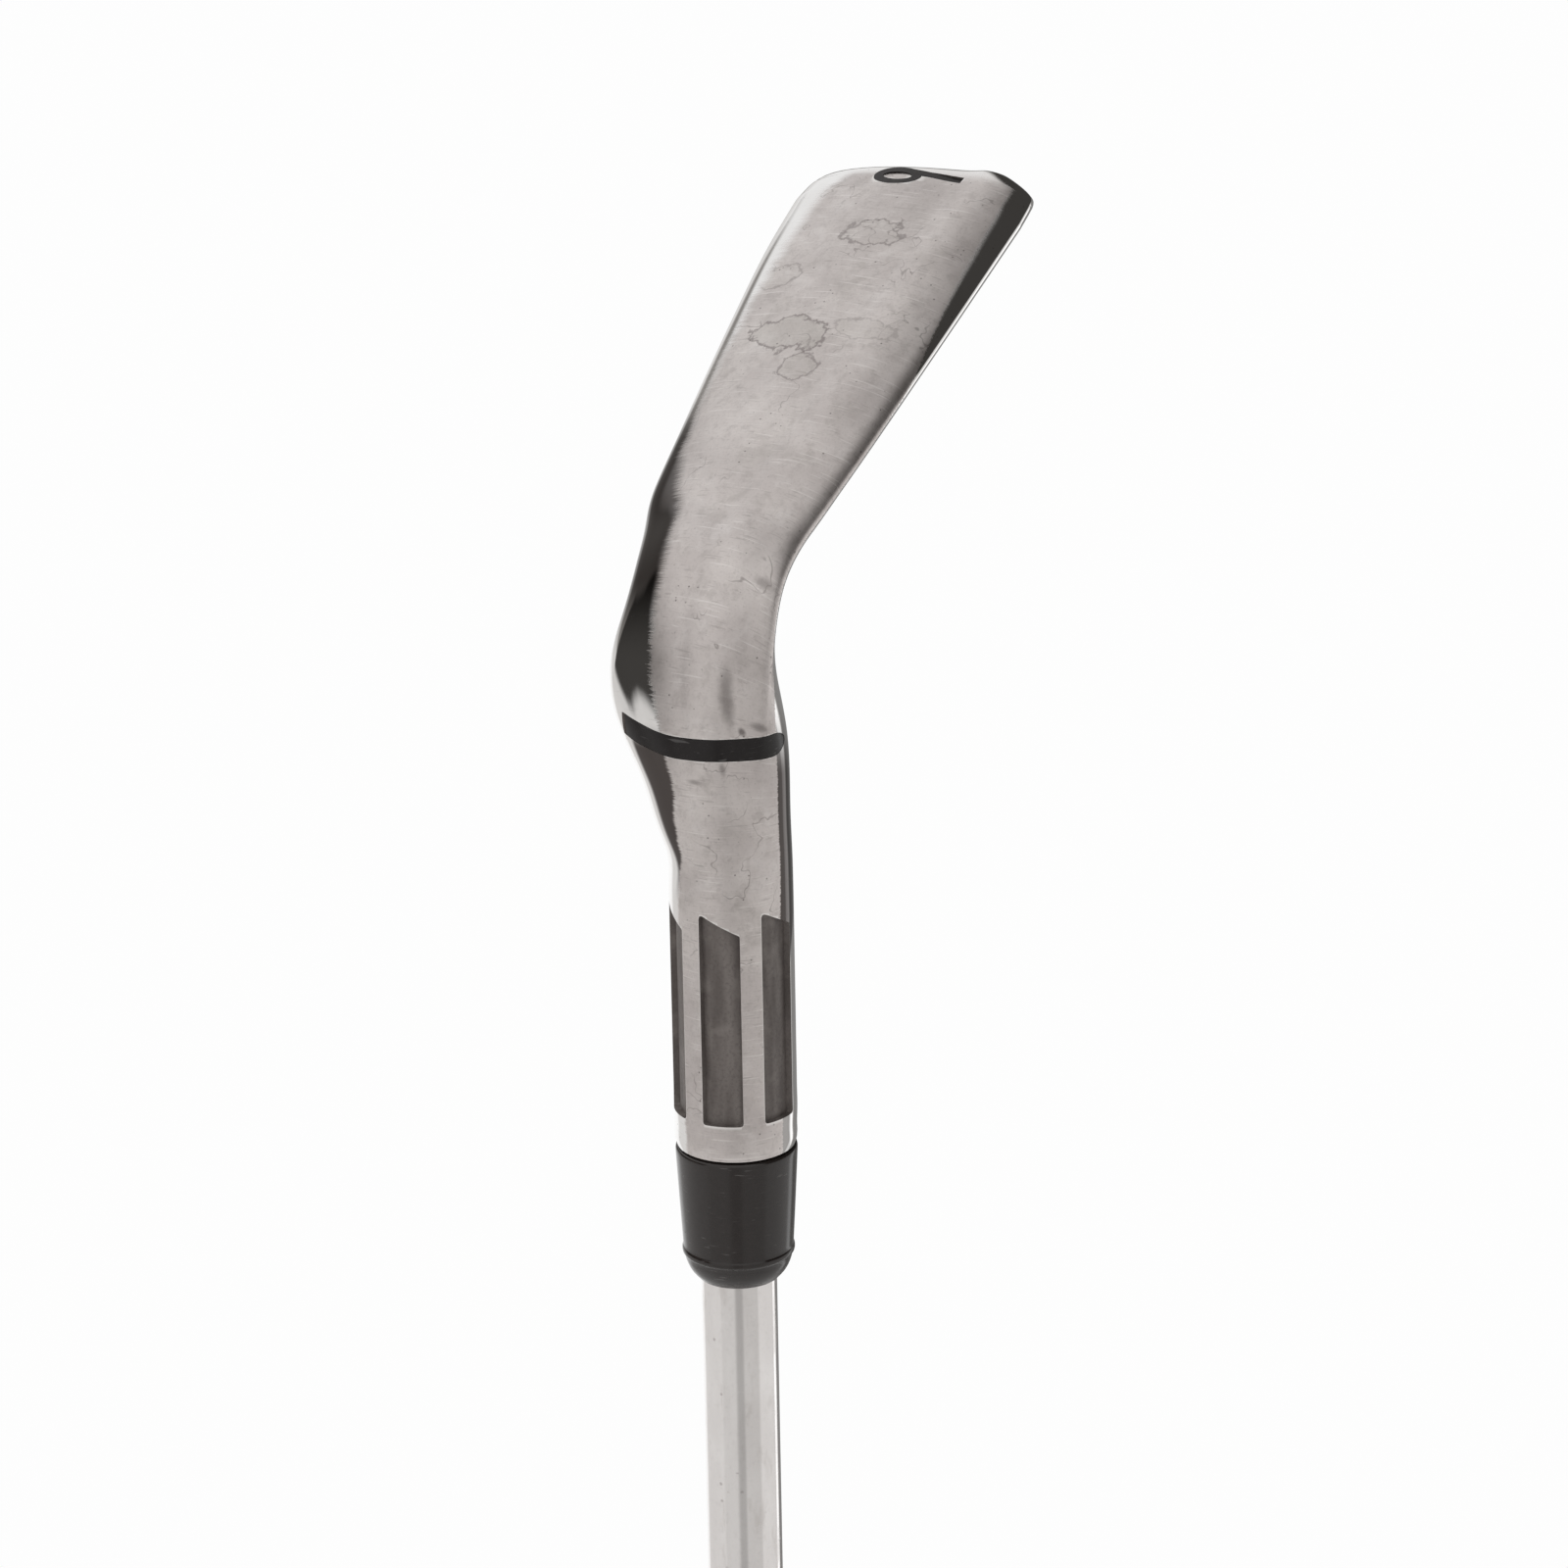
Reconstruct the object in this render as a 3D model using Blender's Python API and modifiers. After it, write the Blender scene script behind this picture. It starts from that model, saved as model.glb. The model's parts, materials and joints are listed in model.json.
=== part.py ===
"""Iron golf club: cast cavity-back head with a fluted hosel, ferrule, stepped
steel shaft and rubber grip.

Frame: metres, +Z runs along the shaft axis from the butt end of the grip
(origin, on the axis) to the head, +X is the toe side, -Y is the striking side
and +Y is the back of the head.

The head is designed in address coordinates with their origin where the shaft
axis meets the ground: x to the toe, y to the target, z up. address_to_part()
turns them into the frame above.
"""
import math

import bmesh
import bpy
import numpy as np
from mathutils import Matrix, Vector

MM = 0.001

# ---- driving dimensions (metres unless they say otherwise) ----
CLUB_LENGTH = 0.908          # butt of the grip to the ground point of the axis
LIE = math.radians(64.0)     # shaft axis above the ground
LOFT = math.radians(43.5)    # face leaning back from the vertical
HOSEL_TOP = 72.0             # mm, ground point to the hosel's end
HOSEL_R = 7.35               # mm, hosel outer radius
BORE_R = 4.90                # mm, hosel bore radius
BORE_DEPTH = 33.0            # mm
FAN_START = 32.0             # mm above the ground point, where the neck begins
FAN_X = 9.0                  # mm, first upright blade section
FLUTE_COUNT = 6
FLUTE_DEPTH = 0.75           # mm
FLUTE_HALF = math.radians(19.5)
FLUTE_LOW = 4.6              # mm from the hosel's end
FLUTE_HIGH = (28.6, 31.2)    # mm from the hosel's end, on the two sides
FLUTE_PHASE = math.radians(-12.0)
BAND_T = (20.4, 23.0)        # mm above the ground point
BAND_DEPTH = 0.7             # mm
FERRULE_LENGTH = 17.1        # mm
SHAFT_TIP_R = 4.52           # mm
SHAFT_BUTT_R = 7.62          # mm
SHAFT_STEPS = 11
GRIP_LENGTH = 0.267
GAP = 0.3                    # mm
SEGMENTS = 32

NAME = "iron_golf_club"


# ---- helpers ----
for old in list(bpy.data.objects):
    bpy.data.objects.remove(old, do_unlink=True)

parts = bpy.data.collections.new(NAME)
cutters = bpy.data.collections.new("cutters")
for group in (parts, cutters):
    bpy.context.scene.collection.children.link(group)


def material(name, colour, roughness, metallic):
    mat = bpy.data.materials.new(name)
    mat.use_nodes = True
    shader = mat.node_tree.nodes["Principled BSDF"]
    shader.inputs["Base Color"].default_value = (*colour, 1.0)
    shader.inputs["Roughness"].default_value = roughness
    shader.inputs["Metallic"].default_value = metallic
    mat.diffuse_color = (*colour, 1.0)
    return mat


def place(name, mesh, mat=None, cutter=False):
    obj = bpy.data.objects.new(name, mesh)
    (cutters if cutter else parts).objects.link(obj)
    if cutter:
        obj.hide_render = True
        obj.display_type = "WIRE"
    else:
        mesh.materials.clear()
        mesh.materials.append(mat)
    return obj


def finish_smooth(obj, angle=32.0):
    obj.data.shade_smooth()
    obj.data.set_sharp_from_angle(angle=math.radians(angle))


def apply_modifiers(obj):
    graph = bpy.context.evaluated_depsgraph_get()
    baked = bpy.data.meshes.new_from_object(obj.evaluated_get(graph))
    obj.modifiers.clear()
    obj.data = baked
    return obj


def boolean(obj, tool, operation, solver="EXACT"):
    mod = obj.modifiers.new(operation.lower(), "BOOLEAN")
    mod.operation = operation
    mod.object = tool
    mod.solver = solver
    return apply_modifiers(obj)


def drop(obj):
    bpy.data.objects.remove(obj, do_unlink=True)


def turned(name, profile, mat=None, steps=SEGMENTS, cutter=False):
    """A closed body of revolution about Z from (radius, z) points in metres
    that run down the outer side from low z to high z and back inside."""
    mesh = bpy.data.meshes.new(name)
    verts = [(r, 0.0, z) for r, z in profile]
    closed = profile[0][0] > 0 or profile[-1][0] > 0
    edges = [(i, i + 1) for i in range(len(verts) - 1)]
    if closed:
        edges.append((len(verts) - 1, 0))
    mesh.from_pydata(verts, edges, [])
    obj = place(name, mesh, mat, cutter)
    screw = obj.modifiers.new("turn", "SCREW")
    screw.axis = "Z"
    screw.angle = 2 * math.pi
    screw.steps = steps
    screw.render_steps = steps
    screw.use_merge_vertices = True
    screw.merge_threshold = 0.00001
    screw.use_smooth_shade = True
    apply_modifiers(obj)
    bm = bmesh.new()
    bm.from_mesh(obj.data)
    bmesh.ops.remove_doubles(bm, verts=bm.verts, dist=1e-6)
    if bm.calc_volume(signed=True) < 0:
        bmesh.ops.reverse_faces(bm, faces=bm.faces)
    bm.to_mesh(obj.data)
    bm.free()
    if mat:
        finish_smooth(obj)
    return obj


def prism(name, outline, place_point, near, far, cutter=True, mat=None):
    """A solid between two copies of a flat outline: place_point(u, v, w) gives
    the place of outline point (u, v) at depth w."""
    bm = bmesh.new()
    low = [bm.verts.new(place_point(u, v, near)) for u, v in outline]
    high = [bm.verts.new(place_point(u, v, far)) for u, v in outline]
    bm.faces.new(low)
    bm.faces.new(high)
    n = len(outline)
    for i in range(n):
        bm.faces.new((low[i], low[(i + 1) % n], high[(i + 1) % n], high[i]))
    bmesh.ops.recalc_face_normals(bm, faces=bm.faces)
    bmesh.ops.triangulate(bm, faces=[f for f in bm.faces if len(f.verts) > 4])
    mesh = bpy.data.meshes.new(name)
    bm.to_mesh(mesh)
    bm.free()
    return place(name, mesh, mat, cutter)


def rounded(corners, radius, steps=4):
    """The outline of a polygon with its corners rounded, as (u, v) points."""
    out = []
    n = len(corners)
    for i in range(n):
        p0, p1, p2 = (np.array(corners[(i + k) % n], float) for k in (-1, 0, 1))
        r = radius[i] if hasattr(radius, "__len__") else radius
        a, b = p0 - p1, p2 - p1
        a, b = a / np.linalg.norm(a), b / np.linalg.norm(b)
        half = math.acos(max(-1.0, min(1.0, float(a @ b)))) / 2
        reach = r / math.tan(half)
        start, stop = p1 + a * reach, p1 + b * reach
        for k in range(steps + 1):
            t = k / steps
            out.append(tuple((1 - t) ** 2 * start + 2 * t * (1 - t) * p1 + t ** 2 * stop))
    return out


# ---- address coordinates ----
SIN_L, COS_L = math.sin(LIE), math.cos(LIE)


def address_to_part(p):
    """Address millimetres (…, 3) to part metres."""
    p = np.asarray(p, float)
    x = SIN_L * p[..., 0] + COS_L * p[..., 2]
    z = COS_L * p[..., 0] - SIN_L * p[..., 2]
    return np.stack([x * MM, -p[..., 1] * MM, CLUB_LENGTH + z * MM], -1)


def along_axis(t):
    """Part z of the point t mm up the shaft axis from the ground point."""
    return CLUB_LENGTH - t * MM


# ---- head: a loft from the hosel's circle to the blade's sections ----
FACE_N = np.array([math.cos(LOFT), math.sin(LOFT)])     # out of the face, (y, z)
FACE_UP = np.array([-math.sin(LOFT), math.cos(LOFT)])   # up the face, (y, z)


def smooth_table(x, table):
    """A smooth curve through (x, value) pairs, monotone between them."""
    xs = np.array([a for a, _ in table], float)
    ys = np.array([b for _, b in table], float)
    h = np.diff(xs)
    d = np.diff(ys) / h
    m = np.zeros(len(xs))
    m[1:-1] = np.where(d[:-1] * d[1:] > 0, 2 * d[:-1] * d[1:] / (d[:-1] + d[1:] + 1e-12), 0)
    m[0], m[-1] = d[0], d[-1]
    x = np.clip(x, xs[0], xs[-1])
    i = np.clip(np.searchsorted(xs, x) - 1, 0, len(h) - 1)
    t = (x - xs[i]) / h[i]
    return ((2 * t**3 - 3 * t**2 + 1) * ys[i] + (t**3 - 2 * t**2 + t) * h[i] * m[i]
            + (-2 * t**3 + 3 * t**2) * ys[i + 1] + (t**3 - t**2) * h[i] * m[i + 1])


# along the blade, mm: leading edge, trailing edge, sole camber, face length
LEAD_Y = [(0, 5.2), (12, 6.0), (26, 6.6), (45, 6.1), (67, 5.0), (84, 3.8)]
FACE_PLANE = 6.42    # mm, the face plane's distance from the ground point
TRAIL_Y = [(0, -14.4), (9, -17.9), (13, -19.3), (25, -21.5), (45, -25.0), (65, -28.2), (84, -30.2)]
FLARE = [(0, 0.0), (0.16, -0.1), (0.34, 0.6), (0.52, 0.5), (0.70, -1.3), (0.86, -1.5), (1, -0.3)]    # the neck's back edge, by fan step
FLARE_AT = [(0, 0.3), (3, 0.0), (40, 0.0), (46, 0.8), (50, 1.0), (53, 1.0), (56, 0.3)]
TOE_CUT = [(0, 1.9), (2, 1.3), (4, 0.6), (6, 0.0), (8, -0.5), (10, -0.4), (12, 0.1), (14, 0.2), (18, 0.0), (31, 0.0), (36, 0.8), (40, 2.0), (43, 3.3), (46, 4.8), (49, 6.0), (51, 6.2), (53, 5.2), (56, 1.9)]    # the toe drawn in, by ring place
TRAIL_Z = [(0, 6.2), (20, 5.0), (50, 4.6), (70, 5.4), (84, 7.0)]
SOLE_Z = [(0, 1.6), (12, 0.5), (35, 0.0), (58, 0.5), (72, 1.8), (84, 4.2)]
FACE_LENGTH = [(0, 31.0), (20, 37.0), (45, 46.0), (70, 54.0), (84, 56.0)]
TOP_THICK = [(0, 6.4), (20, 5.8), (60, 5.6), (84, 5.8)]
FLANGE_Z = [(0, 17.0), (15, 14.0), (50, 12.5), (84, 14.0)]

# ring order: sole middle, leading edge, face, top line, back, trailing edge
ANCHORS = (0, 9, 12, 27, 31, 38, 43, 47, 50, 56)
RING = 56


def catmull(points, ts, closed=False):
    """Centripetal-free Catmull-Rom through points at positions 0, 1, 2, …"""
    p = np.asarray(points, float)
    n = len(p)
    out = []
    for t in ts:
        i = int(math.floor(t))
        f = t - i
        if not closed:
            i = min(max(i, 0), n - 2)
            f = t - i
            idx = [max(i - 1, 0), i, i + 1, min(i + 2, n - 1)]
        else:
            idx = [(i - 1) % n, i % n, (i + 1) % n, (i + 2) % n]
        a, b, c, d = p[idx]
        out.append(0.5 * (2 * b + (c - a) * f + (2 * a - 5 * b + 4 * c - d) * f**2
                          + (3 * b - a - 3 * c + d) * f**3))
    return np.array(out)


def arc(p0, corner, p1, n):
    """n points of a quadratic corner from p0 to p1, without p1."""
    t = np.arange(n)[:, None] / n
    return (1 - t) ** 2 * p0 + 2 * t * (1 - t) * corner + t**2 * p1


def line(p0, p1, n):
    t = np.arange(n)[:, None] / n
    return p0 + (p1 - p0) * t


def blade_section(x):
    """RING points (y, z) of the blade at x, and each one's point on the
    middle of the blade's thickness."""
    ly = smooth_table(x, LEAD_Y)
    lz = (FACE_PLANE - ly * FACE_N[0]) / FACE_N[1]
    ty, tz = smooth_table(x, TRAIL_Y), smooth_table(x, TRAIL_Z)
    sz, fl = smooth_table(x, SOLE_Z), smooth_table(x, FACE_LENGTH)
    th, gz = smooth_table(x, TOP_THICK), smooth_table(x, FLANGE_Z)
    lead = np.array([ly, lz])
    sole = np.array([ly - 10.5, sz])
    # leading edge: sole side point, corner, face side point
    lead_in = lead + np.array([-3.0, -1.9 - (lz - 3.4) * 0.3])
    face_low = lead + FACE_UP * 1.6
    top_front = lead + FACE_UP * (fl - 1.4)
    top_corner_f = lead + FACE_UP * fl
    top_corner_b = top_corner_f - FACE_N * th
    top_back = top_corner_b - FACE_UP * 1.6
    top_mid = (top_corner_f + top_corner_b) / 2 + FACE_UP * 0.35
    shelf = lead + FACE_UP * (fl * 0.52) - FACE_N * (th + 1.8)
    flange = np.array([ty + 2.6, gz])
    trail_up = np.array([ty + 0.2, tz + 2.6])
    trail_in = np.array([ty + 3.2, tz - 2.6 + (sz * 0.2)])
    ring = np.zeros((RING, 2))
    # sole middle to the leading edge: a cambered run
    mid_front = (sole + lead_in) / 2 + np.array([0.0, -0.55])
    t = np.arange(9)[:, None] / 9
    ring[0:9] = (1 - t) ** 2 * sole + 2 * t * (1 - t) * (mid_front * 2 - (sole + lead_in) / 2) + t**2 * lead_in
    ring[9:13] = arc(lead_in, lead + np.array([0.25, -0.55]), face_low, 4)
    ring[13:27] = line(face_low, top_front, 14)
    ring[27:29] = arc(top_front, top_corner_f, top_mid, 2)
    ring[29:31] = arc(top_mid, top_corner_b, top_back, 2)
    down = catmull([top_back - (shelf - top_back) * 0.3, top_back, shelf, flange,
                    trail_up + (trail_up - flange) * 0.2], 1 + np.arange(16) / 16 * 2)
    ring[31:47] = down
    ring[47:51] = arc(flange + (trail_up - flange) * 0.0, trail_up, (trail_up + trail_in) / 2 + np.array([-0.9, -0.5]), 4)
    corner = np.array([ty - 0.2, tz - 1.2])
    ring[47:51] = line(flange, trail_up, 4)
    ring[51:54] = arc(trail_up, corner, trail_in, 3)
    t = np.arange(2)[:, None] / 2
    mid_back = (sole + trail_in) / 2 + np.array([0.0, -0.9])
    ring[54:56] = (1 - t) ** 2 * trail_in + 2 * t * (1 - t) * (mid_back * 2 - (sole + trail_in) / 2) + t**2 * sole
    return ring, lead, fl, th, sz


def resample(ring, where):
    """Points of a closed ring at fractional indices."""
    return catmull(ring, where, closed=True)


RING_AT = np.concatenate([
    np.linspace(0, 9, 7)[:-1], np.linspace(9, 13, 6)[:-1], np.linspace(13, 27, 7)[:-1],
    np.linspace(27, 31, 6)[:-1], np.linspace(31, 47, 9)[:-1], np.linspace(47, 51, 3)[:-1],
    np.linspace(51, 54, 5)[:-1], np.linspace(54, 56, 4)[:-1]])

# toe outline: x of the toe's end against height up the face, mm
TOE_X = [(-8, 74.0), (0, 75.6), (2, 77.2), (5, 79.2), (10, 80.2), (22, 81.2), (38, 79.4), (50, 74.2), (58, 66.5)]

# how far the neck has turned into the blade's section: sole, back and face side
NECK_MIX = (
    [(0, 0.0), (0.16, 0.06), (0.34, 0.25), (0.52, 0.52), (0.70, 0.79), (0.86, 0.95), (1, 1.0)],
    [(0, 0.20), (0.16, 0.45), (0.34, 0.76), (0.52, 0.90), (0.70, 0.96), (0.86, 0.99), (1, 1.0)],
    [(0, 0.0), (0.16, 0.01), (0.34, 0.06), (0.52, 0.20), (0.70, 0.50), (0.86, 0.84), (1, 1.0)],
)

PIVOT = np.array([-COS_L * FAN_START, SIN_L * FAN_START])
PIVOT_D = (FAN_X - PIVOT[0]) / SIN_L
PIVOT = PIVOT + PIVOT_D * np.array([SIN_L, COS_L])


def hosel_radius(t):
    return smooth_table(t, [(16, 6.7), (26, 6.95), (36, 7.3), (43, HOSEL_R), (72, HOSEL_R)])


def head_rings(where, toe_shut=True):
    """Every section of the head's skin, hosel end first, in address mm."""
    n = len(where)
    turn = np.asarray(where) / RING * 2 * np.pi
    turn = turn + 0.0
    # the circle's angle for each ring place: 0 is the sole side, then the face
    circle_at = smooth_table(np.asarray(where, float), [(0, 0.0), (12, 0.30), (20, 0.62), (28, 1.0), (38, 1.40), (48, 1.72), (56, 2.0)]) * np.pi
    axis_up = np.array([-COS_L, 0.0, SIN_L])
    side = np.array([-SIN_L, 0.0, -COS_L])
    rows = []
    for t in np.concatenate([[72.0, 71.6], np.linspace(70, 36, 12)]):
        r = hosel_radius(t) - (0.35 if t == 72.0 else 0.0)
        centre = axis_up * t
        rows.append(centre + r * (np.cos(circle_at)[:, None] * side + np.sin(circle_at)[:, None] * np.array([0, 1.0, 0])))
    # the neck: sections that fan about the pivot
    blade, lead, fl, th, sz = blade_section(FAN_X)
    blade = resample(blade, where)
    blade_w = np.stack([blade[:, 0], PIVOT[1] - blade[:, 1]], -1)
    at = np.asarray(where, float)
    back_share = smooth_table(at, [(0, 0.15), (6, 0.0), (26, 0.0), (33, 1.0), (47, 1.0), (53, 0.45), (56, 0.15)])
    face_share = smooth_table(at, [(0, 0.0), (5, 0.1), (11, 1.0), (22, 1.0), (30, 0.0), (56, 0.0)])
    shares = (1 - back_share - face_share, back_share, face_share)
    for f in (0.0, 0.16, 0.34, 0.52, 0.70, 0.86):
        angle = LIE * (1 - f)
        out = np.array([-math.sin(angle), -math.cos(angle)])
        mix = sum(share * smooth_table(f, table) for share, table in zip(shares, NECK_MIX))[:, None]
        r = hosel_radius(FAN_START - 14 * f)
        ring = np.stack([r * np.sin(circle_at), PIVOT_D + r * np.cos(circle_at)], -1)
        shape = (1 - mix) * ring + mix * blade_w
        outer = smooth_table(f, [(0, 0.0), (0.34, 0.3), (0.6, 1.0), (0.8, 0.9), (1.0, 0.0)]) * 1.1
        weight = np.clip((shape[:, 1] - PIVOT_D) / 14.0, 0, 1)
        shape[:, 1] += outer * weight
        shape[:, 0] -= smooth_table(f, FLARE) * smooth_table(at, FLARE_AT)
        rows.append(np.stack([PIVOT[0] + shape[:, 1] * out[0], shape[:, 0], PIVOT[1] + shape[:, 1] * out[1]], -1))
    # the blade
    for x in (FAN_X, 12.5, 17, 23, 30, 38, 46, 54, 61, 67):
        ring, *_ = blade_section(x)
        ring = resample(ring, where)
        rows.append(np.stack([np.full(n, x), ring[:, 0], ring[:, 1]], -1))
    if not toe_shut:
        for x in (72, 78, 84):
            ring = resample(blade_section(x)[0], where)
            rows.append(np.stack([np.full(n, float(x)), ring[:, 0], ring[:, 1]], -1))
        return np.array(rows)
    # the toe: sections that bend to its outline and close with a rounded edge
    for f, inset, back in ((0.35, 0.0, 0.0), (0.7, 0.0, 0.0), (1.0, 0.0, 2.6), (1.0, 0.5, 1.2), (1.0, 1.5, 0.35), (1.0, 2.7, 0.0)):
        ring, lead, fl, th, sz = blade_section(67 + 15 * f)
        ring = resample(ring, where)
        up = (ring - lead) @ FACE_UP
        toe = smooth_table(up, TOE_X) - smooth_table(at, TOE_CUT)
        x = 67 + (toe - 67 - back) * f
        shape = ring.copy()
        for k in range(n):
            own, lead_k, fl_k, th_k, _ = blade_section(x[k])
            shape[k] = resample(own, [where[k]])[0]
        if inset:
            low = np.array([lead[0] - 12.5, 9.0])
            high = lead + FACE_UP * (fl - 4.0) - FACE_N * th / 2
            s = np.clip((shape - low) @ (high - low) / ((high - low) @ (high - low)), 0, 1)
            middle = low + s[:, None] * (high - low)
            reach = middle - shape
            length = np.linalg.norm(reach, axis=1)
            shape = shape + reach / length[:, None] * np.minimum(inset, length * 0.8)[:, None]
        rows.append(np.stack([x, shape[:, 0], shape[:, 1]], -1))
    return np.array(rows)


def refine(rows, count):
    """Sections spaced smoothly through the given ones."""
    ts = np.linspace(0, len(rows) - 1, count)
    flat = rows.reshape(len(rows), -1)
    return catmull(flat, ts).reshape(count, rows.shape[1], 3)


def loft(name, rows, mat=None, cutter=False):
    """A closed skin over rings of points, capped at both ends."""
    bm = bmesh.new()
    grid = [[bm.verts.new(p) for p in address_to_part(row)] for row in rows]
    n = len(grid[0])
    for a, b in zip(grid[:-1], grid[1:]):
        for k in range(n):
            bm.faces.new((a[k], a[(k + 1) % n], b[(k + 1) % n], b[k]))
    for row in (grid[0], grid[-1]):
        bm.faces.new(row)
    bmesh.ops.recalc_face_normals(bm, faces=bm.faces)
    if bm.calc_volume(signed=True) < 0:
        bmesh.ops.reverse_faces(bm, faces=bm.faces)
    bmesh.ops.triangulate(bm, faces=[f for f in bm.faces if len(f.verts) > 4])
    mesh = bpy.data.meshes.new(name)
    bm.to_mesh(mesh)
    bm.free()
    return place(name, mesh, mat, cutter)


steel = material("cast_steel", (0.62, 0.58, 0.56), 0.32, 1.0)
black = material("black_polymer", (0.02, 0.02, 0.02), 0.35, 0.0)
ferrule_black = material("ferrule_black", (0.03, 0.026, 0.024), 0.28, 0.0)
chrome = material("chrome", (0.75, 0.75, 0.76), 0.12, 1.0)
rubber = material("grip_rubber", (0.03, 0.03, 0.032), 0.8, 0.0)
cap_rubber = material("cap_rubber", (0.05, 0.05, 0.05), 0.6, 0.0)
epoxy = material("epoxy", (0.35, 0.33, 0.25), 0.4, 0.0)
tape = material("tape", (0.75, 0.72, 0.62), 0.8, 0.0)
brass = material("brass", (0.72, 0.53, 0.25), 0.35, 1.0)
foil = material("shaft_band", (0.55, 0.55, 0.57), 0.4, 0.3)
badge_metal = material("badge_plate", (0.6, 0.6, 0.62), 0.35, 1.0)
badge_soft = material("badge_carrier", (0.06, 0.06, 0.06), 0.6, 0.0)
adhesive = material("adhesive_pad", (0.12, 0.12, 0.12), 0.7, 0.0)
paint = material("paint_fill", (0.02, 0.02, 0.02), 0.5, 0.0)

rows = refine(head_rings(RING_AT), 62)
long_rows = refine(head_rings(RING_AT, toe_shut=False), 62)
head = loft("head_body", rows, steel)


def inset_rows(grid, depth):
    """The skin moved inwards by depth mm."""
    along = np.gradient(grid, axis=0)
    around = np.roll(grid, -1, axis=1) - np.roll(grid, 1, axis=1)
    normal = np.cross(along, around)
    normal /= np.linalg.norm(normal, axis=2, keepdims=True) + 1e-12
    centre = grid.mean(axis=1, keepdims=True)
    sign = np.sign(((grid - centre) * normal).sum(axis=2).mean())
    return grid - sign * normal * depth


# hosel bore
top_z = along_axis(HOSEL_TOP)
bore = turned("bore_cutter", [(0.0, top_z - 0.004), (BORE_R * MM, top_z - 0.004),
                              (BORE_R * MM, top_z + (BORE_DEPTH - 1.5) * MM),
                              (0.0, top_z + BORE_DEPTH * MM)], steps=SEGMENTS, cutter=True)
boolean(head, bore, "DIFFERENCE")
drop(bore)

# flutes around the hosel
FACING = math.radians(211.0)  # direction from the axis that flute angles count from


def flute_point(centre):
    def point(u, v, w):
        a = centre + u / HOSEL_R
        return Vector((w * MM * math.cos(a), w * MM * math.sin(a), top_z + v * MM))
    return point


half = FLUTE_HALF * HOSEL_R
outline = rounded([(-half, FLUTE_LOW), (half, FLUTE_LOW), (half, FLUTE_HIGH[0]), (-half, FLUTE_HIGH[1])], (0.9, 0.9, 0.9, 1.3), 3)
core = turned("flute_core", [(0.0, top_z - 0.01), ((HOSEL_R - FLUTE_DEPTH) * MM, top_z - 0.01),
                             ((HOSEL_R - FLUTE_DEPTH) * MM, top_z + 0.05), (0.0, top_z + 0.05)], steps=48, cutter=True)
for i in range(FLUTE_COUNT):
    centre = FACING + FLUTE_PHASE + i * 2 * math.pi / FLUTE_COUNT
    slot = prism("flute_cutter", outline, flute_point(centre), 3.5, 9.5)
    boolean(slot, core, "DIFFERENCE")
    boolean(head, slot, "DIFFERENCE")
    drop(slot)
drop(core)


# ---- inlays: the black band round the neck and the filled sole numeral ----
BAND_ACROSS = (-13.2, 6.6)      # mm, the band's two ends, across the neck
NUMERAL_AT = (73.2, -11.6)      # mm, x and y of the sole numeral's middle
NUMERAL_DEPTH = 0.5             # mm
CLEAR = 0.12                    # mm, round a fill in its recess


def inlay(recess, fill, depth):
    """Cuts a recess of the given depth under a cutter and fills it."""
    floor = loft("recess_floor", inset_rows(long_rows, depth), cutter=True)
    boolean(recess, floor, "DIFFERENCE", "MANIFOLD")
    boolean(head, recess, "DIFFERENCE", "MANIFOLD")
    drop(recess)
    drop(floor)
    floor = loft("recess_floor", inset_rows(long_rows, depth - CLEAR), cutter=True)
    skin = loft("recess_skin", inset_rows(long_rows, 0.04), cutter=True)
    boolean(fill, skin, "INTERSECT", "MANIFOLD")
    boolean(fill, floor, "DIFFERENCE", "MANIFOLD")
    drop(floor)
    drop(skin)
    finish_smooth(fill)


def band_rise(u):
    """How far the band climbs towards the sole: most at its back end."""
    return 0.9 - 0.45 * max(0.0, min(1.0, u / 6.9)) + 0.03 * max(0.0, -u - 5.5) ** 2


def band_point(u, v, w):
    """u mm across the neck, v mm up the axis, w mm towards the sole side."""
    out = Vector((math.cos(FACING), math.sin(FACING), 0.0))
    across = Vector((-out.y, out.x, 0.0))
    p = across * (u * MM) + out * (w * MM)
    return Vector((p.x, p.y, along_axis(v - band_rise(u))))


def stadium(u0, u1, v0, v1, shrink=0.0):
    """A slot's outline with round ends and split sides."""
    u0, u1, v0, v1 = u0 + shrink, u1 - shrink, v0 + shrink, v1 - shrink
    r = (v1 - v0) / 2
    out = []
    for turn, centre, far, edge in ((-1, u1 - r, u0 + r, v1), (1, u0 + r, u1 - r, v0)):
        for k in range(7):
            a = turn * math.pi / 2 + math.pi * k / 6
            out.append((centre + r * math.cos(a), (v0 + v1) / 2 + r * math.sin(a)))
        out += [(centre + (far - centre) * k / 10, edge) for k in range(1, 10)]
    return out


recess = prism("band_recess", stadium(*BAND_ACROSS, *BAND_T), band_point, -1.0, 20.0)
band = prism("hosel_band_inlay", stadium(*BAND_ACROSS, *BAND_T, shrink=CLEAR), band_point, -0.5, 20.0, cutter=False, mat=black)
inlay(recess, band, BAND_DEPTH)


def numeral_point(u, v, w):
    """u mm to the toe, v mm to the back, w mm up, from the numeral's middle."""
    return Vector(address_to_part((NUMERAL_AT[0] + u, NUMERAL_AT[1] - v, w)))


def oval(a, b, v0, n=20):
    return [(a * math.cos(2 * math.pi * k / n), v0 + b * math.sin(2 * math.pi * k / n)) for k in range(n)]


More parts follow.
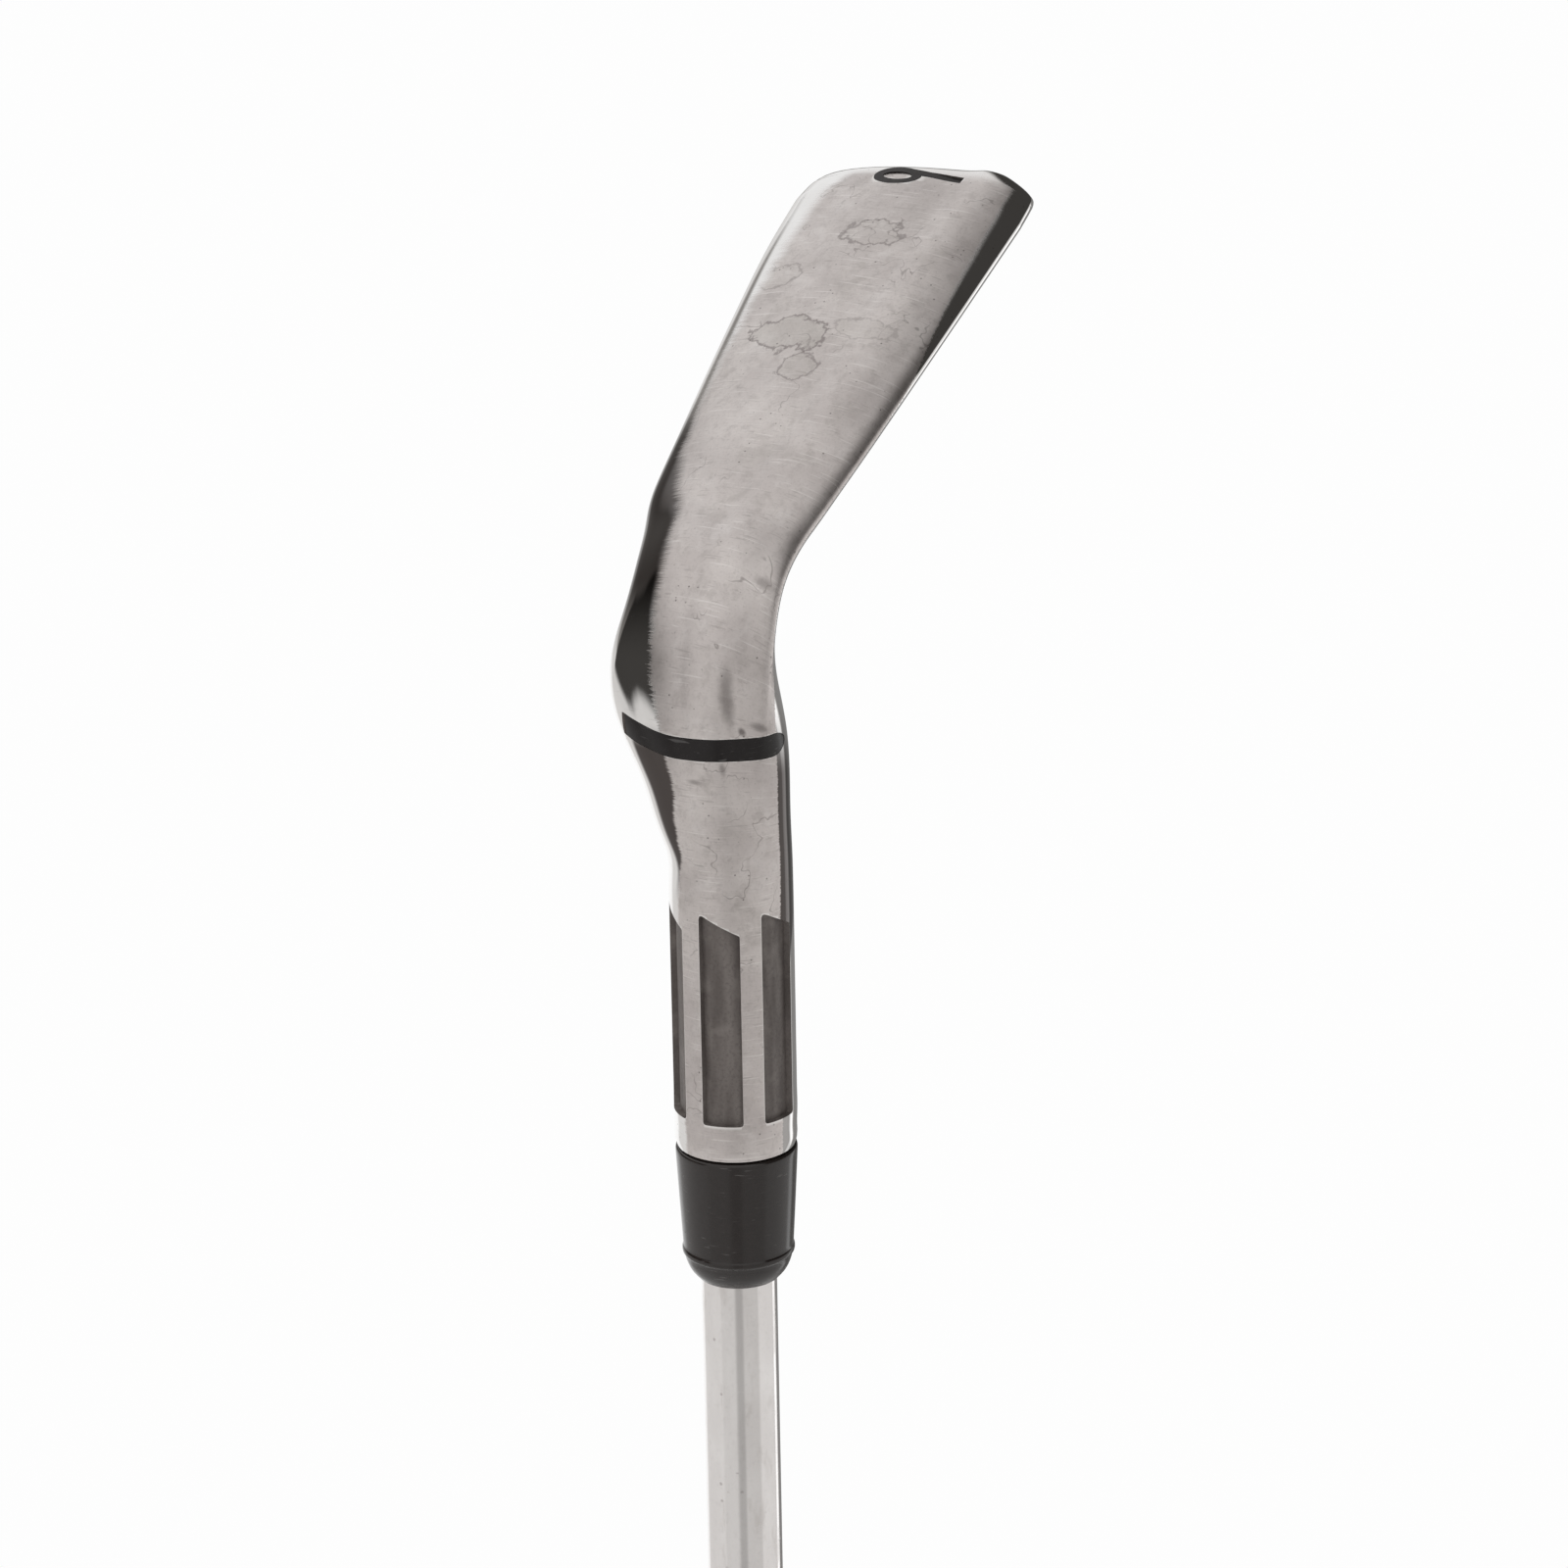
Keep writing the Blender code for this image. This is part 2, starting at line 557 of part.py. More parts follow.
def numeral(name, shrink, cutter, mat=None, low=-3.0, high=8.0):
    """A plain nine: a ring with a straight slanted tail."""
    body = prism(name, oval(2.0 - shrink, 3.3 - shrink, 2.9), numeral_point, low, high, cutter, mat)
    hole = prism("numeral_hole", oval(0.85 + shrink, 1.95 + shrink, 2.9), numeral_point, low - 1, high + 1)
    s = shrink
    tail = prism("numeral_tail", [(0.9 + s, 3.0), (2.0 - s, 3.0), (0.9 - s, -6.2 + s), (-0.4 + s, -6.2 + s)], numeral_point, low, high)
    boolean(body, hole, "DIFFERENCE")
    boolean(body, tail, "UNION")
    drop(hole)
    drop(tail)
    return body


recess = numeral("numeral_recess", 0.0, True)
fill = numeral("sole_numeral_fill", CLEAR, False, paint)
inlay(recess, fill, NUMERAL_DEPTH)


# ---- back cavity and its badge ----
FLOOR_DEPTH = 3.0        # mm, face plane to the cavity's floor


def face_point(u, v, w):
    """u mm to the toe, v mm up the face, w mm behind the face plane."""
    foot = np.array([5.9, (FACE_PLANE - 5.9 * FACE_N[0]) / FACE_N[1]])
    yz = foot + FACE_UP * v - FACE_N * w
    return Vector(address_to_part((u, yz[0], yz[1])))


def cavity_point(u, v, w):
    """As face_point, with walls that lean out and a sole wall that follows the flange."""
    d = max(w - FLOOR_DEPTH, 0.0)
    low = max(0.0, min(1.0, (26.5 - v) / 15.0))
    return face_point(u + (u - 41) * 0.006 * d, v + (1.12 * low + 0.03) * d, w)


POCKET = rounded([(14, 11.5), (71.5, 11.5), (73.0, 33), (67.5, 46.5), (14, 28.2)], (5, 6, 10, 6, 6), 4)
pocket = prism("cavity_cutter", POCKET, cavity_point, FLOOR_DEPTH, FLOOR_DEPTH + 11.5)
boolean(head, pocket, "DIFFERENCE", "MANIFOLD")
drop(pocket)

BADGE = [(19, 17.8), (66.5, 17.8), (67.5, 32), (60, 38.5), (19, 27.0)]
BADGE_R = (3.5, 4, 4, 5, 3.5)


def slab(name, near, far, shrink, mat):
    middle = (43.5, 26.0)
    outline = [(middle[0] + (u - middle[0]) * (1 - shrink / 24), middle[1] + (v - middle[1]) * (1 - shrink / 9)) for u, v in rounded(BADGE, BADGE_R, 4)]
    obj = prism(name, outline, face_point, near, far, cutter=False, mat=mat)
    finish_smooth(obj)
    return obj


slab("badge_adhesive_pad", FLOOR_DEPTH + 0.1, FLOOR_DEPTH + 0.6, 0.4, adhesive)
carrier = slab("badge_carrier", FLOOR_DEPTH + 0.7, FLOOR_DEPTH + 3.1, 0.0, badge_soft)
seat = prism("badge_seat", rounded([(22, 19.8), (64, 19.8), (65, 31), (59, 36), (22, 25.4)], (2.2, 3, 3, 4, 2.2), 4), face_point, FLOOR_DEPTH + 2.2, FLOOR_DEPTH + 6)
boolean(carrier, seat, "DIFFERENCE")
drop(seat)
finish_smooth(carrier)
plate = prism("badge_plate", rounded([(22.3, 20.1), (63.7, 20.1), (64.7, 30.8), (58.85, 35.6), (22.3, 25.1)], (2.0, 2.8, 2.8, 3.8, 2.0), 4), face_point, FLOOR_DEPTH + 2.3, FLOOR_DEPTH + 3.0, cutter=False, mat=badge_metal)
finish_smooth(plate)

# ---- score lines across the striking face ----
for i in range(13):
    up = 6.5 + 3.1 * i
    start = 19.0
    stop = 62.0 - max(0.0, up - 38.0) * 0.6
    if up > 24:
        start += (up - 24) * 1.15
    line_cut = prism("score_cutter", [(start, up - 0.4), (stop, up - 0.4), (stop, up + 0.4), (start, up + 0.4)], face_point, -1.0, 0.3)
    boolean(head, line_cut, "DIFFERENCE", "MANIFOLD")
    drop(line_cut)
finish_smooth(head)


# ---- pieces turned about the shaft axis, given by (t, radius) in mm ----
def axial(name, outer, inner, mat, steps=SEGMENTS):
    """outer and inner run up the axis, as (t, radius)."""
    profile = [(r * MM, along_axis(t)) for t, r in outer[::-1]]
    profile += [(r * MM, along_axis(t)) for t, r in inner]
    return turned(name, profile, mat, steps)


TIP_T = HOSEL_TOP - BORE_DEPTH + 3.5


def shaft_r(t):
    """The shaft's outer radius: a plain tip, equal steps, a plain butt."""
    first, pitch = 237.0, 36.0
    tip = SHAFT_TIP_R + 0.10 * (t - TIP_T) / (first - TIP_T)
    if t < first:
        return tip
    n = min(int((t - first) // pitch) + 1, SHAFT_STEPS)
    return SHAFT_TIP_R + 0.10 + n * (SHAFT_BUTT_R - SHAFT_TIP_R - 0.10) / SHAFT_STEPS


BUTT_T = CLUB_LENGTH / MM - 4.0
outer = [(TIP_T, SHAFT_TIP_R - 0.25), (TIP_T + 0.5, SHAFT_TIP_R), (236.99, shaft_r(236.99))]
for n in range(SHAFT_STEPS):
    t = 237.0 + 36.0 * n
    outer.append((t + 1.2, shaft_r(t + 0.1)))
    if n < SHAFT_STEPS - 1:
        outer.append((t + 35.99, shaft_r(t + 35.9)))
outer.append((BUTT_T, SHAFT_BUTT_R))
inner = [(TIP_T, 3.60), (237.0, 3.75), (640.0, SHAFT_BUTT_R - 0.62), (BUTT_T, SHAFT_BUTT_R - 0.62)]
axial("shaft_tube", outer, inner, chrome)

# brass tip weight: a knurled pin pressed into the shaft's tip
pin = turned("tip_weight_pin", [(0.0, along_axis(TIP_T + 16)), (2.6 * MM, along_axis(TIP_T + 16)),
                                (3.25 * MM, along_axis(TIP_T + 15)), (3.25 * MM, along_axis(TIP_T - 0.2)),
                                (4.3 * MM, along_axis(TIP_T - 0.3)), (4.3 * MM, along_axis(TIP_T - 1.5)), (0.0, along_axis(TIP_T - 1.5))], brass)

axial("shaft_epoxy", [(TIP_T + 0.3, 4.80), (HOSEL_TOP - 0.4, 4.80)], [(TIP_T + 0.3, 4.64), (HOSEL_TOP - 0.4, 4.64)], epoxy)

F0 = HOSEL_TOP + GAP
ferrule_outer = [(F0, 7.10), (F0 + 0.25, 7.32), (F0 + 12.9, 6.62), (F0 + 13.15, 6.72), (F0 + 13.6, 6.72), (F0 + 13.9, 6.50),
                 (F0 + 15.0, 6.22), (F0 + 16.0, 5.75), (F0 + 16.7, 5.2), (F0 + 17.0, 4.85)]
axial("ferrule", ferrule_outer, [(F0, 4.78), (F0 + 17.0, 4.74)], ferrule_black, 40)

axial("shaft_band", [(606.0, 7.86), (636.0, 7.86)], [(606.0, 7.72), (636.0, 7.72)], foil)

GRIP_TOP = CLUB_LENGTH / MM - 2.6
GRIP_LOW = (CLUB_LENGTH - GRIP_LENGTH) / MM
axial("grip_tape", [(GRIP_LOW + 4, 7.90), (BUTT_T - 1, 7.90)], [(GRIP_LOW + 4, 7.74), (BUTT_T - 1, 7.74)], tape)
grip_outer = [(GRIP_LOW, 8.75), (GRIP_LOW + 0.5, 8.95)]
for k in range(1, 13):
    t = GRIP_LOW + 0.5 + (GRIP_TOP - 14 - GRIP_LOW) * k / 12
    grip_outer.append((t, 8.95 + 4.1 * (k / 12) ** 1.5))
grip_outer += [(GRIP_TOP - 9, 13.5), (GRIP_TOP - 6.5, 13.95), (GRIP_TOP - 4.5, 14.15), (GRIP_TOP, 14.15)]
axial("grip_sleeve", grip_outer, [(GRIP_LOW, 8.05), (GRIP_TOP, 8.05)], rubber)

# moulded end cap: a disc with a plug inside the shaft and a vent through both
cap_outer = [(GRIP_TOP - 18, 6.3), (GRIP_TOP - 17.5, 6.6), (GRIP_TOP + GAP, 6.6), (GRIP_TOP + GAP, 13.9),
             (GRIP_TOP + 0.9, 14.3), (CLUB_LENGTH / MM - 0.9, 14.3), (CLUB_LENGTH / MM, 13.2)]
axial("grip_cap", cap_outer, [(GRIP_TOP - 18, 1.6), (CLUB_LENGTH / MM, 1.6)], cap_rubber)
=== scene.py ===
"""Iron golf club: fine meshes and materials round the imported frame."""
import json
import math

import bmesh
import bpy
import numpy as np
from mathutils import Matrix, Vector
from mathutils.bvhtree import BVHTree

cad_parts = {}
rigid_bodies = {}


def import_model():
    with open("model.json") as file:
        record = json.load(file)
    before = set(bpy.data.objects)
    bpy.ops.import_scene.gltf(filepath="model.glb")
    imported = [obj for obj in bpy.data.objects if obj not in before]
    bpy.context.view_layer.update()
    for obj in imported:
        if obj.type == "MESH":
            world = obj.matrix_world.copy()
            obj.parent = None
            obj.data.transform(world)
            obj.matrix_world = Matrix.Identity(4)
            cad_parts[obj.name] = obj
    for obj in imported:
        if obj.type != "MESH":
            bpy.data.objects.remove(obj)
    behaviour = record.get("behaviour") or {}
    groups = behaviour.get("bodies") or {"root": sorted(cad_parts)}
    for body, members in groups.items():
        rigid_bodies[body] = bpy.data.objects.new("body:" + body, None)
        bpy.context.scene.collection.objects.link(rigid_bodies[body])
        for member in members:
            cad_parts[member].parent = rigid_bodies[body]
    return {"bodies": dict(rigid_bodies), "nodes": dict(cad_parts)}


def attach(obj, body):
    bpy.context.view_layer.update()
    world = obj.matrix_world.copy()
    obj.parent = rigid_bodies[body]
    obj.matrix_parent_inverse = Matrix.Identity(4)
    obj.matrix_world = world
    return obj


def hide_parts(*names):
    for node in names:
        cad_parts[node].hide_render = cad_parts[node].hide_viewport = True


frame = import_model()
BODY = list(frame["bodies"])[0]
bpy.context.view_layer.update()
MM = 0.001

# ---------------------------------------------------------------- dimensions
CLUB_LENGTH = 0.908
LIE = math.radians(64.0)
LOFT = math.radians(43.5)
HOSEL_TOP = 72.0
HOSEL_R = 7.35
BORE_R = 4.90
BORE_DEPTH = 33.0
FAN_START = 32.0
FAN_X = 9.0
FLUTE_DEPTH = 0.75
FLUTE_HALF = math.radians(19.5)
FLUTE_LOW = 4.6
FLUTE_HIGH = (28.6, 31.2)
FLUTE_PHASE = math.radians(-12.0)
FACING = math.radians(211.0)
BAND_T = (20.4, 23.0)
BAND_ACROSS = (-13.2, 6.6)
BAND_DEPTH = 0.7
NUMERAL_AT = (73.2, -11.6)
NUMERAL_DEPTH = 0.45
FLOOR_DEPTH = 3.0
FACE_PLANE = 6.42
SIN_L, COS_L = math.sin(LIE), math.cos(LIE)
FACE_N = np.array([math.cos(LOFT), math.sin(LOFT)])
FACE_UP = np.array([-math.sin(LOFT), math.cos(LOFT)])
K = 4                     # ring points for each of the design's 56
SECTIONS = 420


# ---------------------------------------------------------------- mesh helpers
def address_to_part(p):
    p = np.asarray(p, float)
    x = SIN_L * p[..., 0] + COS_L * p[..., 2]
    z = COS_L * p[..., 0] - SIN_L * p[..., 2]
    return np.stack([x * MM, -p[..., 1] * MM, CLUB_LENGTH + z * MM], -1)


def part_to_address(q):
    q = np.asarray(q, float)
    dz = q[..., 2] - CLUB_LENGTH
    return np.stack([COS_L * dz + SIN_L * q[..., 0], -q[..., 1], -SIN_L * dz + COS_L * q[..., 0]], -1) / MM


def along_axis(t):
    return CLUB_LENGTH - t * MM


def smooth_table(x, table):
    xs = np.array([a for a, _ in table], float)
    ys = np.array([b for _, b in table], float)
    h = np.diff(xs)
    d = np.diff(ys) / h
    m = np.zeros(len(xs))
    m[1:-1] = np.where(d[:-1] * d[1:] > 0, 2 * d[:-1] * d[1:] / (d[:-1] + d[1:] + 1e-12), 0)
    m[0], m[-1] = d[0], d[-1]
    x = np.clip(x, xs[0], xs[-1])
    i = np.clip(np.searchsorted(xs, x) - 1, 0, len(h) - 1)
    t = (x - xs[i]) / h[i]
    return ((2 * t**3 - 3 * t**2 + 1) * ys[i] + (t**3 - 2 * t**2 + t) * h[i] * m[i]
            + (-2 * t**3 + 3 * t**2) * ys[i + 1] + (t**3 - t**2) * h[i] * m[i + 1])


def natural_spline(xs, rows, at):
    """Natural cubic spline through rows (n, m) at xs, sampled at `at`."""
    n = len(xs)
    h = np.diff(xs)
    a = np.zeros((n, n))
    b = np.zeros((n, rows.shape[1]))
    a[0, 0] = a[-1, -1] = 1
    for i in range(1, n - 1):
        a[i, i - 1], a[i, i], a[i, i + 1] = h[i - 1], 2 * (h[i - 1] + h[i]), h[i]
        b[i] = 6 * ((rows[i + 1] - rows[i]) / h[i] - (rows[i] - rows[i - 1]) / h[i - 1])
    c = np.linalg.solve(a, b)
    i = np.clip(np.searchsorted(xs, at) - 1, 0, n - 2)
    t = (at - xs[i])[:, None]
    hi = h[i][:, None]
    return (c[i] * (hi - t) ** 3 + c[i + 1] * t**3) / (6 * hi) + (rows[i] / hi - c[i] * hi / 6) * (hi - t) + (rows[i + 1] / hi - c[i + 1] * hi / 6) * t


LEAD_Y = [(0, 5.2), (12, 6.0), (26, 6.6), (45, 6.1), (67, 5.0), (84, 3.8)]
TRAIL_Y = [(0, -14.4), (9, -17.9), (13, -19.3), (25, -21.5), (45, -25.0), (65, -28.2), (84, -30.2)]
FLARE = [(0, 0.0), (0.16, -0.1), (0.34, 0.6), (0.52, 0.5), (0.70, -1.3), (0.86, -1.5), (1, -0.3)]
FLARE_AT = [(0, 0.3), (3, 0.0), (40, 0.0), (46, 0.8), (50, 1.0), (53, 1.0), (56, 0.3)]
TRAIL_Z = [(0, 6.2), (20, 5.0), (50, 4.6), (70, 5.4), (84, 7.0)]
SOLE_Z = [(0, 1.6), (12, 0.5), (35, 0.0), (58, 0.5), (72, 1.8), (84, 4.2)]
FACE_LENGTH = [(0, 31.0), (20, 37.0), (45, 46.0), (70, 54.0), (84, 56.0)]
TOP_THICK = [(0, 6.4), (20, 5.8), (60, 5.6), (84, 5.8)]
FLANGE_Z = [(0, 17.0), (15, 14.0), (50, 12.5), (84, 14.0)]
TOE_X = [(-8, 74.0), (0, 75.6), (2, 77.2), (5, 79.2), (10, 80.2), (22, 81.2), (38, 79.4), (50, 74.2), (58, 66.5)]
TOE_CUT = [(0, 1.9), (2, 1.3), (4, 0.6), (6, 0.0), (8, -0.5), (10, -0.4), (12, 0.1), (14, 0.2), (18, 0.0), (31, 0.0), (36, 0.8), (40, 2.0), (43, 3.3), (46, 4.8), (49, 6.0), (51, 6.2), (53, 5.2), (56, 1.9)]
NECK_MIX = (
    [(0, 0.0), (0.16, 0.06), (0.34, 0.25), (0.52, 0.52), (0.70, 0.79), (0.86, 0.95), (1, 1.0)],
    [(0, 0.20), (0.16, 0.45), (0.34, 0.76), (0.52, 0.90), (0.70, 0.96), (0.86, 0.99), (1, 1.0)],
    [(0, 0.0), (0.16, 0.01), (0.34, 0.06), (0.52, 0.20), (0.70, 0.50), (0.86, 0.84), (1, 1.0)],
)
PIVOT = np.array([-COS_L * FAN_START, SIN_L * FAN_START])
PIVOT_D = (FAN_X - PIVOT[0]) / SIN_L
PIVOT = PIVOT + PIVOT_D * np.array([SIN_L, COS_L])


def ramp(n):
    return np.arange(n)[:, None] / n


def bend(p0, corner, p1, n):
    t = ramp(n)
    return (1 - t) ** 2 * p0 + 2 * t * (1 - t) * corner + t**2 * p1


def catmull(points, ts):
    p = np.asarray(points, float)
    n = len(p)
    i = np.clip(np.floor(ts).astype(int), 0, n - 2)
    f = (ts - i)[:, None]
    a, b, c, d = p[np.maximum(i - 1, 0)], p[i], p[i + 1], p[np.minimum(i + 2, n - 1)]
    return 0.5 * (2 * b + (c - a) * f + (2 * a - 5 * b + 4 * c - d) * f**2 + (3 * b - a - 3 * c + d) * f**3)


def blade_section(x):
    ly = smooth_table(x, LEAD_Y)
    lz = (FACE_PLANE - ly * FACE_N[0]) / FACE_N[1]
    ty, tz = smooth_table(x, TRAIL_Y), smooth_table(x, TRAIL_Z)
    sz, fl = smooth_table(x, SOLE_Z), smooth_table(x, FACE_LENGTH)
    th, gz = smooth_table(x, TOP_THICK), smooth_table(x, FLANGE_Z)
    lead = np.array([ly, lz])
    sole = np.array([ly - 10.5, sz])
    lead_in = lead + np.array([-3.0, -1.9 - (lz - 3.4) * 0.3])
    face_low = lead + FACE_UP * 1.6
    top_front = lead + FACE_UP * (fl - 1.4)
    top_f = lead + FACE_UP * fl
    top_b = top_f - FACE_N * th
    top_back = top_b - FACE_UP * 1.6
    top_mid = (top_f + top_b) / 2 + FACE_UP * 0.35
    shelf = lead + FACE_UP * (fl * 0.52) - FACE_N * (th + 1.8)
    flange = np.array([ty + 2.6, gz])
    trail_up = np.array([ty + 0.2, tz + 2.6])
    trail_in = np.array([ty + 3.2, tz - 2.6 + sz * 0.2])
    mid_front = (sole + lead_in) / 2 + np.array([0.0, -0.55])
    corner = np.array([ty - 0.2, tz - 1.2])
    mid_back = (sole + trail_in) / 2 + np.array([0.0, -0.9])
    ring = [
        bend(sole, mid_front * 2 - (sole + lead_in) / 2, lead_in, 9 * K),
        bend(lead_in, lead + np.array([0.25, -0.55]), face_low, 4 * K),
        face_low + (top_front - face_low) * ramp(14 * K),
        bend(top_front, top_f, top_mid, 2 * K),
        bend(top_mid, top_b, top_back, 2 * K),
        catmull([top_back - (shelf - top_back) * 0.3, top_back, shelf, flange, trail_up + (trail_up - flange) * 0.2], 1 + ramp(16 * K)[:, 0] * 2),
        flange + (trail_up - flange) * ramp(4 * K),
        bend(trail_up, corner, trail_in, 3 * K),
        bend(trail_in, mid_back * 2 - (sole + trail_in) / 2, sole, 2 * K),
    ]
    return np.concatenate(ring), lead, fl, th


AT = np.arange(56 * K) / K


def hosel_radius(t):
    return smooth_table(t, [(16, 6.7), (26, 6.95), (36, 7.3), (43, HOSEL_R), (72, HOSEL_R)])


def head_rings(toe_shut=True):
    n = len(AT)
    circle_at = smooth_table(AT, [(0, 0.0), (12, 0.30), (20, 0.62), (28, 1.0), (38, 1.40), (48, 1.72), (56, 2.0)]) * np.pi
    axis_up = np.array([-COS_L, 0.0, SIN_L])
    side = np.array([-SIN_L, 0.0, -COS_L])
    rows = []
    for t in np.concatenate([[72.0, 71.75], np.linspace(71, 36, 14)]):
        r = hosel_radius(t) - (0.25 if t == 72.0 else 0.0)
        rows.append(axis_up * t + r * (np.cos(circle_at)[:, None] * side + np.sin(circle_at)[:, None] * np.array([0, 1.0, 0])))
    blade = blade_section(FAN_X)[0]
    blade_w = np.stack([blade[:, 0], PIVOT[1] - blade[:, 1]], -1)
    back = smooth_table(AT, [(0, 0.15), (6, 0.0), (26, 0.0), (33, 1.0), (47, 1.0), (53, 0.45), (56, 0.15)])
    face = smooth_table(AT, [(0, 0.0), (5, 0.1), (11, 1.0), (22, 1.0), (30, 0.0), (56, 0.0)])
    for f in (0.0, 0.16, 0.34, 0.52, 0.70, 0.86):
        angle = LIE * (1 - f)
        out = np.array([-math.sin(angle), -math.cos(angle)])
        mix = sum(share * smooth_table(f, table) for share, table in zip((1 - back - face, back, face), NECK_MIX))[:, None]
        r = hosel_radius(FAN_START - 14 * f)
        ring = np.stack([r * np.sin(circle_at), PIVOT_D + r * np.cos(circle_at)], -1)
        shape = (1 - mix) * ring + mix * blade_w
        outer = smooth_table(f, [(0, 0.0), (0.34, 0.3), (0.6, 1.0), (0.8, 0.9), (1.0, 0.0)]) * 1.1
        shape[:, 1] += outer * np.clip((shape[:, 1] - PIVOT_D) / 14.0, 0, 1)
        shape[:, 0] -= smooth_table(f, FLARE) * smooth_table(AT, FLARE_AT)
        rows.append(np.stack([PIVOT[0] + shape[:, 1] * out[0], shape[:, 0], PIVOT[1] + shape[:, 1] * out[1]], -1))
    for x in (FAN_X, 12.5, 17, 23, 30, 38, 46, 54, 61, 67):
        ring = blade_section(x)[0]
        rows.append(np.stack([np.full(n, x), ring[:, 0], ring[:, 1]], -1))
    if not toe_shut:
        for x in (72, 78, 84):
            ring = blade_section(x)[0]
            rows.append(np.stack([np.full(n, float(x)), ring[:, 0], ring[:, 1]], -1))
        return np.array(rows)
    for f, inset, short in ((0.35, 0.0, 0.0), (0.7, 0.0, 0.0), (1.0, 0.0, 2.6), (1.0, 0.25, 1.55), (1.0, 0.75, 0.75), (1.0, 1.6, 0.25), (1.0, 2.9, 0.0)):
        ring, lead, fl, th = blade_section(67 + 15 * f)
        up = (ring - lead) @ FACE_UP
        toe = smooth_table(up, TOE_X) - smooth_table(AT, TOE_CUT)
        x = 67 + (toe - 67 - short) * f
        shape = ring.copy()
        grid_x = np.linspace(x.min() - 0.1, x.max() + 0.1, 24)
        grid = np.array([blade_section(g)[0] for g in grid_x])
        for axis in (0, 1):
            for k in range(n):
                shape[k, axis] = np.interp(x[k], grid_x, grid[:, k, axis])
        if inset:
            low = np.array([lead[0] - 12.5, 9.0])
            high = lead + FACE_UP * (fl - 4.0) - FACE_N * th / 2
            s = np.clip((shape - low) @ (high - low) / ((high - low) @ (high - low)), 0, 1)
            middle = low + s[:, None] * (high - low)
            reach = middle - shape
            length = np.linalg.norm(reach, axis=1)
            shape = shape + reach / length[:, None] * np.minimum(inset, length * 0.8)[:, None]
        rows.append(np.stack([x, shape[:, 0], shape[:, 1]], -1))
    return np.array(rows)


def refine(rows, count):
    step = np.linalg.norm(np.diff(rows, axis=0), axis=2).mean(axis=1)
    xs = np.concatenate([[0], np.cumsum(step)])
    weight = np.interp(np.linspace(0, xs[-1], 2000), [0, xs[16], xs[17], xs[24], xs[25], xs[-9], xs[-6], xs[-1]], [0.55, 0.55, 1.5, 1.5, 0.8, 0.8, 2.6, 3.2])
    cum = np.concatenate([[0], np.cumsum((weight[1:] + weight[:-1]) / 2)])
    at = np.interp(np.linspace(0, cum[-1], count), cum, np.linspace(0, xs[-1], 2000))
    return natural_spline(xs, rows.reshape(len(rows), -1), at).reshape(count, rows.shape[1], 3)


def ease(grid, along, around):
    """A light blur of the grid along and around it, ends held."""
    out = grid.copy()
    for _ in range(along):
        out[1:-1] = out[1:-1] * 0.5 + (out[:-2] + out[2:]) * 0.25
    for _ in range(around):
        out = out * 0.5 + (np.roll(out, 1, axis=1) + np.roll(out, -1, axis=1)) * 0.25
    return out


def mesh_from(name, verts, faces):
    mesh = bpy.data.meshes.new(name)
    mesh.from_pydata([tuple(v) for v in verts], [], [tuple(f) for f in faces])
    mesh.update()
    obj = bpy.data.objects.new(name, mesh)
    bpy.context.scene.collection.objects.link(obj)
    return obj


def tube_mesh(name, grid, cap=True):
    """A closed skin over a grid of rings (rows, points, 3) in metres."""
    rows, n = grid.shape[:2]
    idx = np.arange(rows * n).reshape(rows, n)
    a, b = idx[:-1], idx[1:]
    quads = np.stack([a, np.roll(a, -1, 1), np.roll(b, -1, 1), b], -1).reshape(-1, 4)
    verts = list(grid.reshape(-1, 3))
    faces = [tuple(q) for q in quads]
    if cap:
        for ring, order in ((idx[0], 1), (idx[-1], -1)):
            centre = len(verts)
            verts.append(grid.reshape(-1, 3)[ring].mean(axis=0))
            for k in range(n):
                tri = (ring[(k + 1) % n], ring[k], centre)
                faces.append(tri if order == 1 else tri[::-1])
    obj = mesh_from(name, verts, faces)
    bm = bmesh.new()
    bm.from_mesh(obj.data)
    if bm.calc_volume(signed=True) < 0:
        bmesh.ops.reverse_faces(bm, faces=bm.faces)
    bm.to_mesh(obj.data)
    bm.free()
    return obj


def loft(name, rows):
    return tube_mesh(name, address_to_part(rows))


def inset_rows(grid, depth):
    along = np.gradient(grid, axis=0)
    around = np.roll(grid, -1, axis=1) - np.roll(grid, 1, axis=1)
    normal = np.cross(along, around)
    normal /= np.linalg.norm(normal, axis=2, keepdims=True) + 1e-12
    centre = grid.mean(axis=1, keepdims=True)
    sign = np.sign(((grid - centre) * normal).sum(axis=2).mean())
    return grid - sign * normal * depth


def boolean(obj, tool, operation, solver="MANIFOLD"):
    mod = obj.modifiers.new("b", "BOOLEAN")
    mod.operation = operation
    mod.object = tool
    mod.solver = solver
    graph = bpy.context.evaluated_depsgraph_get()
    baked = bpy.data.meshes.new_from_object(obj.evaluated_get(graph))
    obj.modifiers.clear()
    old = obj.data
    obj.data = baked
    bpy.data.meshes.remove(old)
    return obj


def drop(*objs):
    for obj in objs:
        bpy.data.objects.remove(obj, do_unlink=True)


def bevelled(obj, width, segments=3, angle=35):
    mod = obj.modifiers.new("bevel", "BEVEL")
    mod.width = width * MM
    mod.segments = segments
    mod.limit_method = "ANGLE"
    mod.angle_limit = math.radians(angle)
    mod.use_clamp_overlap = True
    graph = bpy.context.evaluated_depsgraph_get()
    baked = bpy.data.meshes.new_from_object(obj.evaluated_get(graph))
    obj.modifiers.clear()
    obj.data = baked
    return obj


def smooth(obj, angle=30.0):
    obj.data.shade_smooth()
    obj.data.set_sharp_from_angle(angle=math.radians(angle))
    return obj


